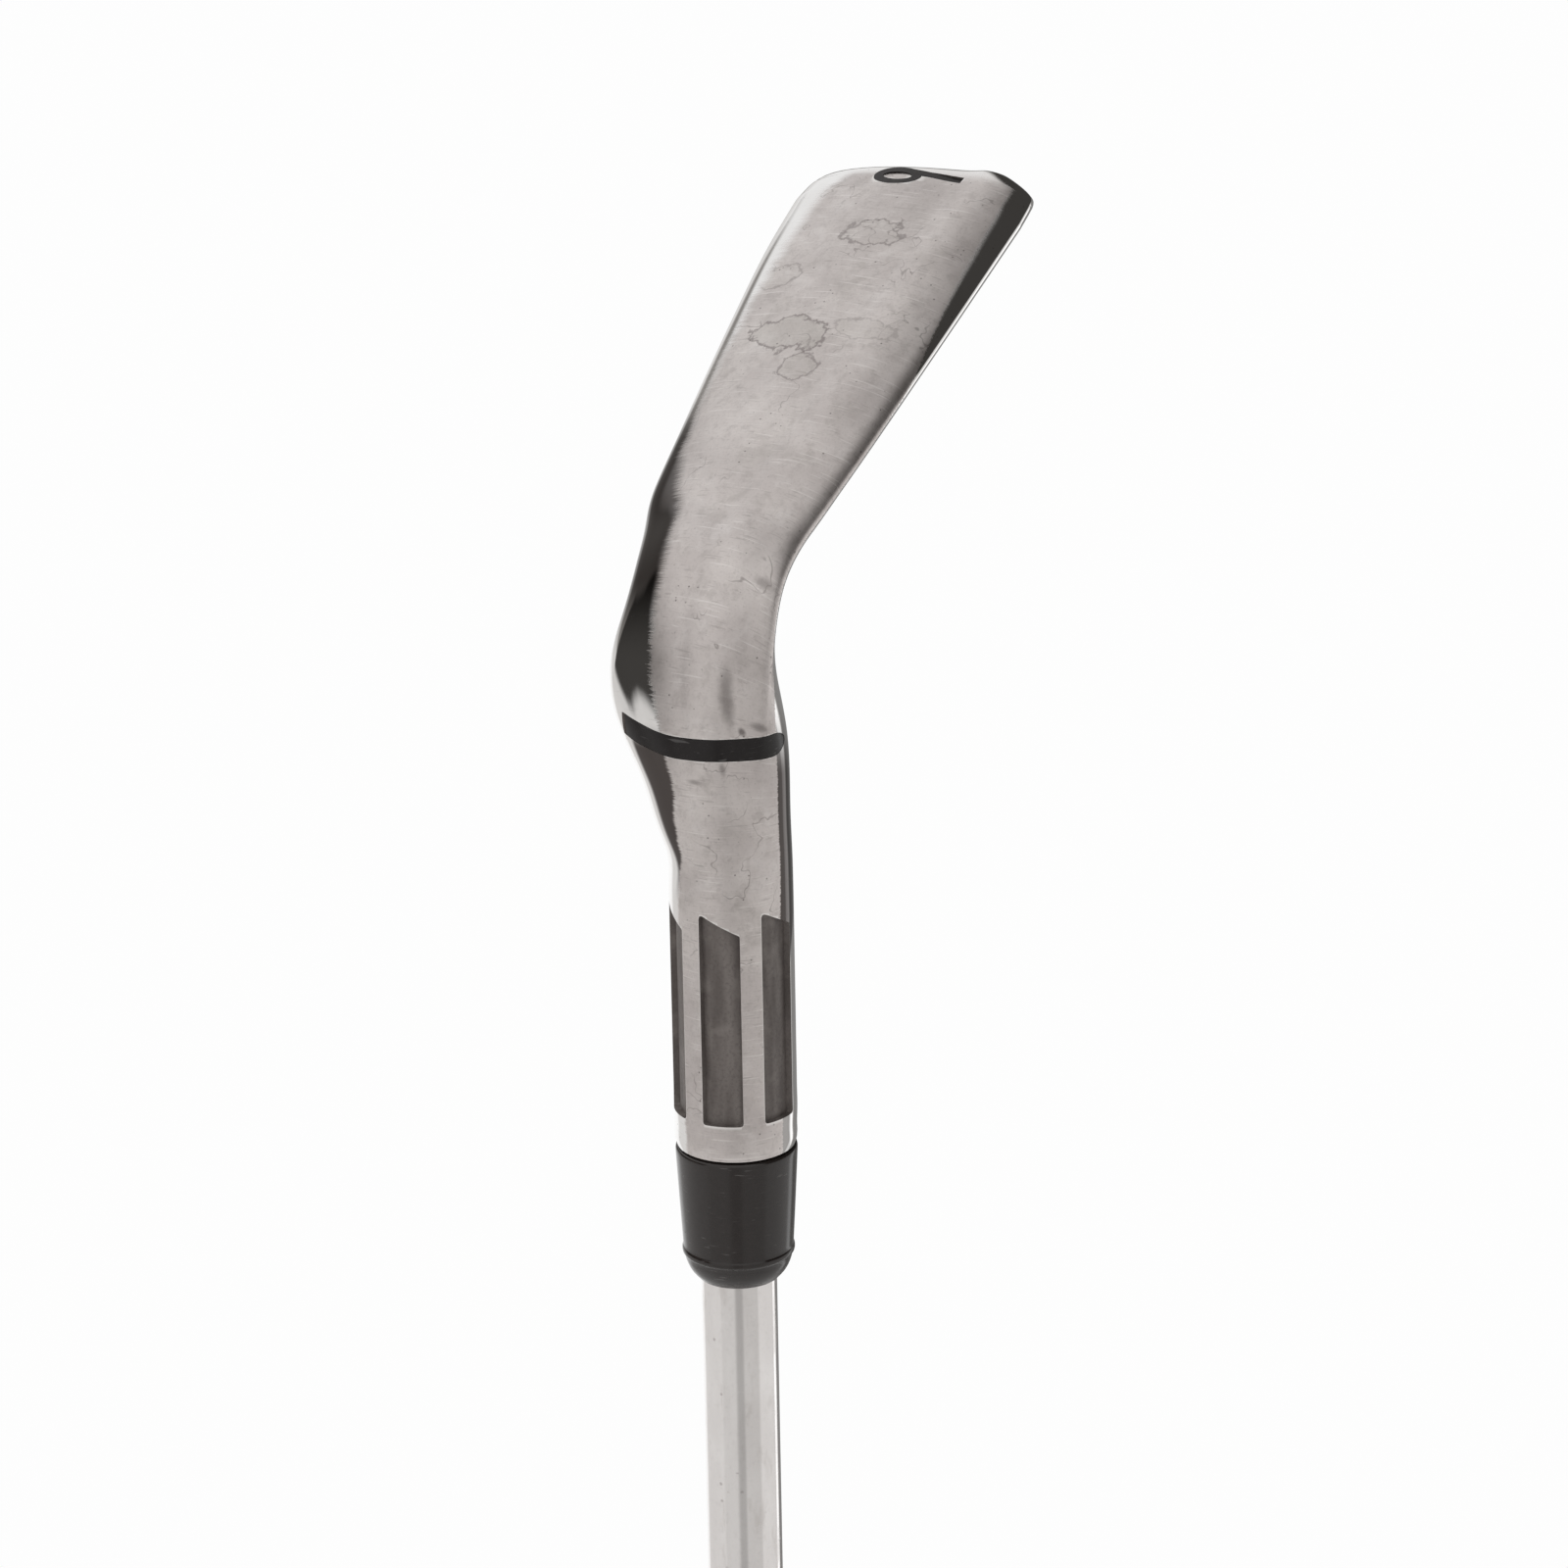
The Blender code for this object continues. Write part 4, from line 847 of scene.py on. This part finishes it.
    # painted highlight: a light line painted round the flute outlines, standing in for the glint off rounded flute
    # edges
    flute_edge_highlight = m.step(m.attr("flute_edge_highlight"), 0.25, 0.9)
    worn_and_painted_highlight = m.mix(m.math("MULTIPLY", flute_edge_highlight, 0.8), worn_and_painted_highlight, (0.92, 0.90, 0.88))
    rough_w = m.math("ADD", 0.34, m.math("MULTIPLY", grain, 0.16))
    rough_p = m.math("ADD", 0.055, m.math("ADD", m.math("MULTIPLY", lines, 0.07), m.math("MULTIPLY", m.step(cloud, 0.45, 0.7), 0.04)))
    height = m.math("ADD", m.math("MULTIPLY", m.math("SUBTRACT", 1.0, lines), 0.5), m.math("MULTIPLY", grain, 0.9))
    height = m.math("SUBTRACT", height, m.math("MULTIPLY", pit_on, 1.6))
    strength = m.math("MULTIPLY", height, m.mixf(satin, 0.12, 1.0))
    n = m.bump(strength, 0.35, 0.02)
    face = m.math("MULTIPLY", m.math("MULTIPLY", m.step(m.attr("ring"), 13.0, 14.5), m.step(m.attr("ring"), 28.0, 26.5)), m.step(t_here, 60.0, 66.0))
    rough_p = m.mixf(face, rough_p, 0.3)
    return m.set(Metallic=1.0, Base_Color=m.mix(satin, polished_and_dark_reflection, worn_and_painted_highlight), Roughness=m.mixf(satin, rough_p, rough_w), Normal=n)


def dark_recess():
    m = Nodes("recess_dark")
    p = m.millimetres()
    uv, _, s = rings_uv(m)
    grain = m.noise(p, 2.6, 4.0, 0.7)
    streak = m.noise(m.place(uv, (0.5, 0.07, 1)), 1.0, 2.0)
    big = m.noise(p, 0.35, 3.0)
    colour = m.mix(m.step(streak, 0.35, 0.7), (0.115, 0.099, 0.092), (0.20, 0.178, 0.167))
    colour = m.mix(m.math("MULTIPLY", m.step(grain, 0.45, 0.7), 0.4), colour, (0.07, 0.06, 0.056))
    colour = m.mix(m.math("MULTIPLY", m.step(big, 0.5, 0.75), 0.5), colour, (0.26, 0.235, 0.22))
    return m.set(Metallic=0.35, Base_Color=colour, Roughness=m.math("ADD", 0.45, m.math("MULTIPLY", grain, 0.2)), Normal=m.bump(grain, 0.4, 0.05))


def machined(name, colour, rough):
    m = Nodes(name)
    p = m.millimetres()
    uv, _, s = rings_uv(m)
    turning = m.noise(m.place(uv, (0.02, 6.0, 1)), 1.0, 2.0)
    grain = m.noise(p, 2.0, 3.0, 0.6)
    c = m.mix(m.math("MULTIPLY", turning, 0.6), colour, tuple(v * 0.6 for v in colour))
    c = m.mix(m.math("MULTIPLY", m.step(grain, 0.5, 0.75), 0.3), c, tuple(v * 0.4 for v in colour))
    return m.set(Metallic=1.0, Base_Color=c, Roughness=m.math("ADD", rough, m.math("MULTIPLY", grain, 0.12)), Normal=m.bump(m.math("ADD", turning, grain), 0.25, 0.03))


def cast_satin():
    m = Nodes("cavity_satin")
    p = m.millimetres()
    blast = m.noise(p, 4.0, 3.0, 0.7)
    cloud = m.noise(p, 0.12, 3.0)
    c = m.mix(m.step(cloud, 0.35, 0.7), (0.42, 0.40, 0.39), (0.52, 0.50, 0.485))
    c = m.mix(m.math("MULTIPLY", m.step(blast, 0.5, 0.75), 0.4), c, (0.27, 0.255, 0.245))
    return m.set(Metallic=1.0, Base_Color=c, Roughness=m.math("ADD", 0.42, m.math("MULTIPLY", blast, 0.15)), Normal=m.bump(blast, 0.5, 0.05))


loops = np.empty(len(head.data.loops), np.int32)
head.data.loops.foreach_get("vertex_index", loops)
sizes = np.empty(len(head.data.polygons), np.int32)
head.data.polygons.foreach_get("loop_total", sizes)
loop_slot = np.repeat(slot, sizes)
# vertices shared by chrome faces and flute-floor faces, the mask for the painted highlight round the flute outlines
touch = np.zeros((2, len(head.data.vertices)), bool)
touch[0, loops[loop_slot == 0]] = True
touch[1, loops[loop_slot == 1]] = True
attribute(head, "flute_edge_highlight", (touch[0] & touch[1]).astype(float))

finish_slots(head, [steel(), dark_recess(), machined("bore_wall", (0.5, 0.48, 0.46), 0.3), cast_satin(), machined("score_line", (0.22, 0.205, 0.20), 0.4)])
head.data.polygons.foreach_set("material_index", slot)
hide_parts("head_body")
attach(head, BODY)


# ---------------------------------------------------------------- paint, ferrule, shaft
def gloss(name, colour, dull, rough, coat=0.0, wear=0.4, scale=1.0, specular=0.5):
    m = Nodes(name)
    uv, p, s = rings_uv(m)
    dust = m.noise(m.place(p, (1, 1, 1)), 1.6 * scale, 4.0, 0.7)
    scuff = m.scratches(uv, 0.2, 2.4, 3.0, 0.30, 5.0)
    scuff2 = m.scratches(uv, 1.35, 2.4, 2.2, 0.30, 15.0)
    marks = m.math("MULTIPLY", m.math("MAXIMUM", scuff, scuff2), m.step(m.noise(p, 0.25, 2.0), 0.45, 0.62))
    c = m.mix(m.math("MULTIPLY", m.step(dust, 0.4, 0.72), 0.5), colour, dull)
    c = m.mix(m.math("MULTIPLY", marks, wear), c, tuple(min(1, v * 2.2 + 0.12) for v in colour))
    r = m.math("ADD", rough, m.math("ADD", m.math("MULTIPLY", dust, 0.12), m.math("MULTIPLY", marks, 0.25)))
    return m.set(Base_Color=c, Roughness=r, Coat_Weight=coat, Specular_IOR_Level=specular, Normal=m.bump(m.math("SUBTRACT", dust, marks), 0.12, 0.03))


def adopt(obj, node, slot_name, *materials):
    finish_slots(obj, materials)
    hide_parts(node)
    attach(obj, BODY)
    return obj


adopt(band, "hosel_band_inlay", "band_black", gloss("band_enamel", (0.010, 0.008, 0.008), (0.018, 0.015, 0.015), 0.2, 0.0, specular=0.3))
adopt(numeral_fill, "sole_numeral_fill", "paint", gloss("numeral_enamel", (0.012, 0.010, 0.010), (0.03, 0.027, 0.026), 0.35, specular=0.2))

F0 = HOSEL_TOP + 0.3


def curve_profile(points, gap=0.4):
    """A turned profile with rounded shoulders, resampled finely."""
    p = np.array(points, float)
    out = [p[0]]
    for a, b in zip(p[:-1], p[1:]):
        n = max(1, int(np.linalg.norm(b - a) / gap))
        out += [a + (b - a) * (k + 1) / n for k in range(n)]
    return [tuple(q) for q in out]


nose = [(F0 + 13.95, 6.50), (F0 + 14.5, 6.40), (F0 + 15.0, 6.24), (F0 + 15.5, 6.03), (F0 + 16.0, 5.74), (F0 + 16.4, 5.42), (F0 + 16.75, 5.1), (F0 + 16.95, 4.92), (F0 + 17.0, 4.80)]
ferrule = turned("neck_ferrule", curve_profile([(F0, 7.02), (F0 + 0.06, 7.16), (F0 + 0.2, 7.27), (F0 + 0.4, 7.31), (F0 + 1.2, 7.28), (F0 + 7, 6.97), (F0 + 12.9, 6.63)])
                 + [(F0 + 12.98, 6.66), (F0 + 13.08, 6.73), (F0 + 13.25, 6.77), (F0 + 13.5, 6.77), (F0 + 13.68, 6.73), (F0 + 13.78, 6.64), (F0 + 13.86, 6.54)]
                 + nose + [(F0 + 16.9, 4.74), (F0 + 0.2, 4.78), (F0, 4.9)], 128)
smooth(ferrule, 40)
adopt(ferrule, "ferrule", "ferrule_black", gloss("ferrule_gloss", (0.017, 0.013, 0.012), (0.026, 0.021, 0.019), 0.10, 0.0, 0.35))

TIP_T = HOSEL_TOP - BORE_DEPTH + 3.5
SHAFT_STEPS, SHAFT_TIP_R, SHAFT_BUTT_R = 11, 4.52, 7.62
BUTT_T = CLUB_LENGTH / MM - 4.0


def shaft_r(t):
    tip = SHAFT_TIP_R + 0.10 * (t - TIP_T) / (237.0 - TIP_T)
    if t < 237.0:
        return tip
    n = min(int((t - 237.0) // 36.0) + 1, SHAFT_STEPS)
    return SHAFT_TIP_R + 0.10 + n * (SHAFT_BUTT_R - SHAFT_TIP_R - 0.10) / SHAFT_STEPS


outer = [(TIP_T, SHAFT_TIP_R - 0.3), (TIP_T + 0.35, SHAFT_TIP_R - 0.05), (TIP_T + 0.8, SHAFT_TIP_R)]
outer += [(t, shaft_r(t)) for t in np.linspace(46, 236.5, 60)]
for n in range(SHAFT_STEPS):
    t = 237.0 + 36.0 * n
    low, high = shaft_r(t - 0.5), shaft_r(t + 0.5)
    outer += [(t, low), (t + 0.25, low + (high - low) * 0.16), (t + 0.6, low + (high - low) * 0.5), (t + 0.95, low + (high - low) * 0.84), (t + 1.3, high)]
    outer += [(t + s, high) for s in ((9, 18, 27, 35.4) if n < SHAFT_STEPS - 1 else (9, 18, 60, 120, 200))]
outer += [(BUTT_T - 0.4, SHAFT_BUTT_R), (BUTT_T, SHAFT_BUTT_R - 0.3)]
shaft = turned("step_shaft", outer + [(BUTT_T, SHAFT_BUTT_R - 0.6), (640.0, SHAFT_BUTT_R - 0.62), (237.0, 3.75), (TIP_T, 3.60)], 128)
smooth(shaft, 40)


def chrome():
    m = Nodes("shaft_chrome")
    uv, p, s = rings_uv(m)
    cloud = m.noise(m.place(p, (1, 1, 0.35)), 0.16, 4.0, 0.6)
    haze = m.noise(p, 1.2, 4.0, 0.7)
    fine = m.noise(m.place(uv, (0.08, 6.0, 1)), 1.0, 2.0, 0.6)
    s1 = m.scratches(uv, 0.15, 2.0, 4.0, 0.27, 9.0)
    s2 = m.scratches(uv, 1.45, 2.0, 9.0, 0.25, 19.0)
    marks = m.math("MAXIMUM", s1, s2)
    speck = m.cells(p, 0.55)
    spot = m.math("MULTIPLY", m.step(speck.outputs["Distance"], 0.16, 0.08), m.step(m.noise(p, 0.2, 1.0), 0.54, 0.6))
    smear = m.step(m.noise(m.place(uv, (0.25, 0.12, 1), 0.5), 1.0, 3.0, 0.6), 0.56, 0.68)
    c = m.mix(m.step(cloud, 0.38, 0.66), (0.80, 0.775, 0.765), (0.87, 0.85, 0.84))
    c = m.mix(m.math("MULTIPLY", smear, 0.35), c, (0.62, 0.585, 0.56))
    c = m.mix(m.math("MULTIPLY", m.step(haze, 0.5, 0.7), 0.12), c, (0.5, 0.48, 0.47))
    c = m.mix(m.math("MULTIPLY", spot, 0.45), c, (0.3, 0.27, 0.26))
    c = m.mix(m.math("MULTIPLY", marks, 0.15), c, (0.95, 0.94, 0.93))
    r = m.math("ADD", 0.09, m.math("ADD", m.math("MULTIPLY", smear, 0.10), m.math("MULTIPLY", marks, 0.10)))
    return m.set(Metallic=1.0, Base_Color=c, Roughness=m.math("ADD", r, m.math("MULTIPLY", haze, 0.05)), Normal=m.bump(m.math("ADD", fine, marks), 0.08, 0.02))


adopt(shaft, "shaft_tube", "shaft_chrome", chrome())

# plain foil band below the grip, with two thin rules round it
band_profile = [(606.0, 7.72), (606.0, 7.83), (606.15, 7.86)]
for a, b in ((608.0, 609.2), (632.8, 634.0)):
    band_profile += [(a, 7.86), (a + 0.1, 7.83), (b - 0.1, 7.83), (b, 7.86)]
foil_band = turned("foil_band", band_profile + [(635.85, 7.86), (636.0, 7.83), (636.0, 7.72)], 128)
smooth(foil_band, 40)


def foil():
    m = Nodes("band_foil")
    uv, p, s = rings_uv(m)
    height = s.outputs[2]
    t = m.math("SUBTRACT", 908.0, height)
    rule = m.math("MAXIMUM", m.step(m.math("ABSOLUTE", m.math("SUBTRACT", t, 608.6)), 0.62, 0.5), m.step(m.math("ABSOLUTE", m.math("SUBTRACT", t, 633.4)), 0.62, 0.5))
    stripe = m.math("SINE", m.math("MULTIPLY", t, 6.28318 / 2.0))
    middle = m.math("MULTIPLY", m.step(m.math("ABSOLUTE", m.math("SUBTRACT", t, 621.0)), 6.2, 6.0), m.step(stripe, -0.1, 0.1))
    fibre = m.noise(m.place(uv, (0.4, 5.0, 1)), 1.0, 3.0, 0.6)
    c = m.mix(middle, (0.035, 0.036, 0.04), (0.24, 0.245, 0.26))
    c = m.mix(rule, c, (0.72, 0.71, 0.70))
    c = m.mix(m.math("MULTIPLY", m.step(fibre, 0.5, 0.75), 0.25), c, (0.14, 0.14, 0.145))
    return m.set(Metallic=0.6, Base_Color=c, Roughness=m.math("ADD", 0.22, m.math("MULTIPLY", fibre, 0.16)), Normal=m.bump(fibre, 0.1, 0.02))


adopt(foil_band, "shaft_band", "band_foil", foil())

# ---------------------------------------------------------------- grip
GRIP_TOP = CLUB_LENGTH / MM - 2.6
GRIP_LOW = CLUB_LENGTH / MM - 267.0


def grip_r(t):
    k = np.clip((t - GRIP_LOW - 0.5) / (GRIP_TOP - 14 - GRIP_LOW), 0, 1)
    r = 8.95 + 4.1 * k ** 1.5
    return np.where(t > GRIP_TOP - 14, smooth_table(t, [(GRIP_TOP - 14, 13.05), (GRIP_TOP - 9, 13.5), (GRIP_TOP - 6.5, 13.95), (GRIP_TOP - 4.5, 14.15), (GRIP_TOP, 14.15)]), r)


nt, na = 520, 216
ts = np.linspace(GRIP_LOW + 0.6, GRIP_TOP - 0.5, nt)
ang = np.arange(na) * 2 * np.pi / na
T, A = np.meshgrid(ts, ang, indexing="ij")
R = grip_r(T).copy()
pitch = 4.4
lanes = 18
cell_u = A / (2 * np.pi) * lanes
row_v = (T - GRIP_LOW) / pitch
cu = (cell_u + 0.5 * (np.floor(row_v) % 2)) % 1 - 0.5
cv = row_v % 1 - 0.5
arm = 0.30 - np.abs(np.abs(cu) * 0.9 + np.abs(cv) * 0.75 - 0.0)
chevron = np.abs(np.abs(cu) * 1.1 - (cv + 0.18))
lane_in = step01(0.40 - np.abs(cu), 0.0, 0.08)
groove = step01(0.13 - chevron, 0.0, 0.10) * lane_in
field = step01(T, GRIP_LOW + 12, GRIP_LOW + 14) * (1 - step01(T, GRIP_TOP - 24, GRIP_TOP - 22))
smooth_band = np.abs((T - (GRIP_LOW + 138)) / 9.0) < 1
field = field * (1 - step01(9.5 - np.abs(T - (GRIP_LOW + 138)), 0, 1.2))
R -= 0.42 * groove * field
for centre, deep in ((GRIP_LOW + 4, 0.35), (GRIP_LOW + 6.5, 0.35), (GRIP_LOW + 9, 0.35), (GRIP_TOP - 17, 0.4), (GRIP_TOP - 19.5, 0.4), (GRIP_LOW + 131, 0.3), (GRIP_LOW + 145, 0.3)):
    R -= deep * np.exp(-((T - centre) / 0.45) ** 2)
for t0 in np.arange(GRIP_LOW + 30, GRIP_TOP - 30, 2.0):
    pass
outer_grid = np.stack([R * np.cos(A) * MM, R * np.sin(A) * MM, CLUB_LENGTH - T * MM], -1)


def ring_row(t, r):
    return np.stack([np.cos(ang) * r * MM, np.sin(ang) * r * MM, np.full(na, CLUB_LENGTH - t * MM)], -1)


grid = np.concatenate([[ring_row(GRIP_LOW, 8.05), ring_row(GRIP_LOW, 8.45), ring_row(GRIP_LOW + 0.05, 8.7), ring_row(GRIP_LOW + 0.25, 8.86)], outer_grid,
                       [ring_row(GRIP_TOP - 0.15, 14.08), ring_row(GRIP_TOP, 13.9), ring_row(GRIP_TOP, 8.05)]])
rows_n = len(grid)
idx = np.arange(rows_n * na).reshape(rows_n, na)
quads = np.stack([idx, np.roll(idx, -1, 1), np.roll(np.roll(idx, -1, 0), -1, 1), np.roll(idx, -1, 0)], -1).reshape(-1, 4)
grip = mesh_from("grip_rubber", grid.reshape(-1, 3), quads)
bm = bmesh.new()
bm.from_mesh(grip.data)
if bm.calc_volume(signed=True) < 0:
    bmesh.ops.reverse_faces(bm, faces=bm.faces)
bm.to_mesh(grip.data)
bm.free()
smooth(grip, 50)


def rubber(name, dark, light):
    m = Nodes(name)
    p = m.millimetres()
    grain = m.noise(p, 3.0, 3.0, 0.6)
    cloud = m.noise(p, 0.06, 4.0, 0.6)
    bloom = m.noise(p, 0.5, 3.0, 0.7)
    c = m.mix(m.step(cloud, 0.35, 0.7), dark, light)
    c = m.mix(m.math("MULTIPLY", m.step(bloom, 0.5, 0.8), 0.3), c, tuple(v * 1.9 for v in light))
    return m.set(Base_Color=c, Roughness=m.math("ADD", 0.5, m.math("MULTIPLY", bloom, 0.25)), Normal=m.bump(grain, 0.35, 0.06))


adopt(grip, "grip_sleeve", "grip_rubber", rubber("grip_rubber", (0.018, 0.0175, 0.018), (0.032, 0.031, 0.031)))

cap_profile = [(GRIP_TOP - 18, 1.6), (GRIP_TOP - 18, 6.1), (GRIP_TOP - 17.7, 6.45), (GRIP_TOP - 17.2, 6.6), (GRIP_TOP + 0.3, 6.6), (GRIP_TOP + 0.3, 13.75), (GRIP_TOP + 0.45, 14.05),
               (GRIP_TOP + 0.8, 14.28), (GRIP_TOP + 1.5, 14.3)]
top = CLUB_LENGTH / MM
cap_profile += [(top - 0.9, 14.22), (top - 0.55, 14.0), (top - 0.25, 13.65), (top - 0.05, 13.3), (top, 13.0)]
for r in (11.6, 9.4, 7.2):
    cap_profile += [(top, r + 0.5), (top - 0.18, r + 0.38), (top - 0.38, r + 0.15), (top - 0.38, r - 0.15), (top - 0.18, r - 0.38), (top, r - 0.5)]
cap_profile += [(top, 2.3), (top - 0.12, 1.85), (top - 0.5, 1.6)]
cap = turned("butt_cap", cap_profile, 128)
smooth(cap, 40)
adopt(cap, "grip_cap", "cap_rubber", rubber("cap_rubber", (0.02, 0.0195, 0.02), (0.036, 0.035, 0.035)))

# ---------------------------------------------------------------- badge in the back cavity
BADGE = [(19, 17.8), (66.5, 17.8), (67.5, 32), (60, 38.5), (19, 27.0)]
carrier = prism("badge_rubber", rounded(BADGE, (3.5, 4, 4, 5, 3.5), 8), face_point, FLOOR_DEPTH + 0.7, FLOOR_DEPTH + 3.1)
seat = prism("seat", rounded([(22, 19.8), (64, 19.8), (65, 31), (59, 36), (22, 25.4)], (2.2, 3, 3, 4, 2.2), 8), face_point, FLOOR_DEPTH + 2.2, FLOOR_DEPTH + 6)
boolean(carrier, seat, "DIFFERENCE", "EXACT")
drop(seat)
bevelled(carrier, 0.28, 3)
smooth(carrier, 40)
adopt(carrier, "badge_carrier", "badge_rubber", rubber("badge_rubber", (0.022, 0.022, 0.023), (0.04, 0.04, 0.041)))
plate = prism("badge_metal", rounded([(22.3, 20.1), (63.7, 20.1), (64.7, 30.8), (58.85, 35.6), (22.3, 25.1)], (2.0, 2.8, 2.8, 3.8, 2.0), 8), face_point, FLOOR_DEPTH + 2.3, FLOOR_DEPTH + 3.0)
for i in range(9):
    x0 = 27.0 + 3.6 * i
    hi = min(24.6 + (x0 - 27) * 0.27, 32.5)
    groove_cut = prism("g", rounded([(x0, 21.6), (x0 + 1.1, 21.6), (x0 + 1.1 + (hi - 21.6) * 0.35, hi), (x0 + (hi - 21.6) * 0.35, hi)], 0.4, 4), face_point, FLOOR_DEPTH + 2.75, FLOOR_DEPTH + 5)
    boolean(plate, groove_cut, "DIFFERENCE", "EXACT")
    drop(groove_cut)
bevelled(plate, 0.1, 2)
smooth(plate, 40)
adopt(plate, "badge_plate", "badge_plate", machined("badge_brushed", (0.62, 0.61, 0.60), 0.22))

# ---------------------------------------------------------------- small hidden pieces keep their solids
hidden = {
    "tip_weight_pin": machined("brass_pin", (0.72, 0.52, 0.22), 0.25),
    "shaft_epoxy": gloss("epoxy_amber", (0.42, 0.33, 0.18), (0.5, 0.42, 0.28), 0.3),
    "grip_tape": gloss("tape_white", (0.72, 0.70, 0.64), (0.55, 0.53, 0.48), 0.6),
    "badge_adhesive_pad": gloss("adhesive_grey", (0.3, 0.3, 0.29), (0.22, 0.22, 0.21), 0.6),
}
for node, material in hidden.items():
    obj = frame["nodes"][node]
    for index in range(max(1, len(obj.data.materials))):
        if len(obj.data.materials) > index:
            obj.data.materials[index] = material
        else:
            obj.data.materials.append(material)

# ---------------------------------------------------------------- floor, light, camera
floor_mesh = bpy.data.meshes.new("floor")
bm = bmesh.new()
bmesh.ops.create_circle(bm, cap_ends=True, radius=1.22, segments=96)
bm.to_mesh(floor_mesh)
bm.free()
floor = bpy.data.objects.new("floor", floor_mesh)
bpy.context.scene.collection.objects.link(floor)
fm = Nodes("floor_pale")
sep = fm.new("ShaderNodeSeparateXYZ")
fm.put(sep.inputs[0], fm.new("ShaderNodeTexCoord").outputs["Object"])
radius = fm.math("SQRT", fm.math("ADD", fm.math("POWER", sep.outputs[0], 2.0), fm.math("POWER", sep.outputs[1], 2.0)))
fm.set(Base_Color=(0.86, 0.86, 0.855), Roughness=0.7, Alpha=fm.step(radius, 0.55, 1.2, 1.0, 0.0))
floor.data.materials.append(fm.mat)

world = bpy.data.worlds.new("studio")
bpy.context.scene.world = world
world.use_nodes = True
wt = world.node_tree
wt.nodes.clear()
w = Nodes.__new__(Nodes)
w.tree = wt
direction = w.new("ShaderNodeTexCoord").outputs["Generated"]


def toward(vec):
    n = w.new("ShaderNodeVectorMath", operation="DOT_PRODUCT")
    w.put(n.inputs[0], direction)
    n.inputs[1].default_value = tuple(vec)
    return n.outputs["Value"]


def card(shade, az0, az1, z0, z1, value, soft=0.06):
    """A soft-edged panel between two azimuths from FACING (degrees) and two heights."""
    a0, a1 = FACING + math.radians(az0), FACING + math.radians(az1)
    m1 = w.step(toward((-math.sin(a0), math.cos(a0), 0)), -soft, soft)
    m2 = w.step(toward((math.sin(a1), -math.cos(a1), 0)), -soft, soft)
    z = toward((0, 0, 1))
    mask = w.math("MULTIPLY", w.math("MULTIPLY", m1, m2), w.math("MULTIPLY", w.step(z, z0 - soft, z0 + soft), w.step(z, z1 + soft, z1 - soft)))
    return w.mix(mask, shade, value)


def grey(v, warm=0.0):
    return (v * (1 + warm), v, v * (1 - warm))


shade = w.mix(w.step(toward((0, 0, 1)), -1.0, 0.9), grey(0.60, 0.02), grey(0.86, 0.01))
shade = card(shade, -170, -60, -0.9, -0.25, grey(0.74, 0.015))
shade = card(shade, -14, 10, -0.75, 0.25, grey(0.44, 0.02), 0.09)
shade = card(shade, 12, 58, -0.75, 0.25, grey(0.60, 0.02), 0.06)
shade = card(shade, 58, 116, -0.75, 0.15, grey(0.76, 0.015), 0.06)
shade = card(shade, 121, 134, -0.75, -0.12, grey(1.25), 0.03)
shade = card(shade, 137, 186, -0.75, 0.1, grey(0.24, 0.02), 0.04)
shade = card(shade, -176, -140, -0.75, -0.2, grey(1.05), 0.08)
shade = card(shade, 182, 222, 0.16, 0.80, grey(0.90, 0.0), 0.06)
shade = card(shade, -158, -118, -0.02, 0.36, grey(0.26, 0.05), 0.05)
shade = card(shade, -126, -58, -0.12, 0.34, grey(0.05, 0.06), 0.05)
shade = card(shade, 56, 178, 0.02, 0.93, grey(0.045, 0.06), 0.05)
camera_ray = w.new("ShaderNodeLightPath").outputs["Is Camera Ray"]
shade = w.mix(camera_ray, shade, (0.985, 0.985, 0.985))
back = w.new("ShaderNodeBackground")
w.put(back.inputs[0], shade)
back.inputs[1].default_value = 1.0
out = w.new("ShaderNodeOutputWorld")
wt.links.new(back.outputs[0], out.inputs[0])


def area(name, where, look, size, power):
    data = bpy.data.lights.new(name, "AREA")
    data.energy = power
    data.shape = "RECTANGLE"
    data.size, data.size_y = size
    obj = bpy.data.objects.new(name, data)
    bpy.context.scene.collection.objects.link(obj)
    obj.location = where
    obj.rotation_euler = (Vector(look) - Vector(where)).to_track_quat("-Z", "Y").to_euler()
    obj.visible_glossy = False
    return obj


area("softbox_top", (0.3, 0.5, 2.9), (0, 0, 0.6), (1.6, 1.6), 26)
area("softbox_side", (-2.1, 1.5, 1.7), (0, 0, 0.6), (1.0, 1.6), 14)

cam_data = bpy.data.cameras.new("view")
cam = bpy.data.objects.new("view", cam_data)
bpy.context.scene.collection.objects.link(cam)
cam_data.sensor_width = 36
cam_data.lens = 134.21
cam_data.clip_end = 30
cam.location = (-0.5509954, -0.3385930, 1.1038784)
right = Vector((0.5099113, -0.8600578, -0.0170595))
up = Vector((0.2887037, 0.1524182, 0.9452084))
ahead = Vector((0.8103336, 0.4868976, -0.3260217))
cam.rotation_euler = Matrix((right, up, -ahead)).transposed().to_euler()
bpy.context.scene.camera = cam
bpy.context.scene.view_settings.view_transform = "Standard"
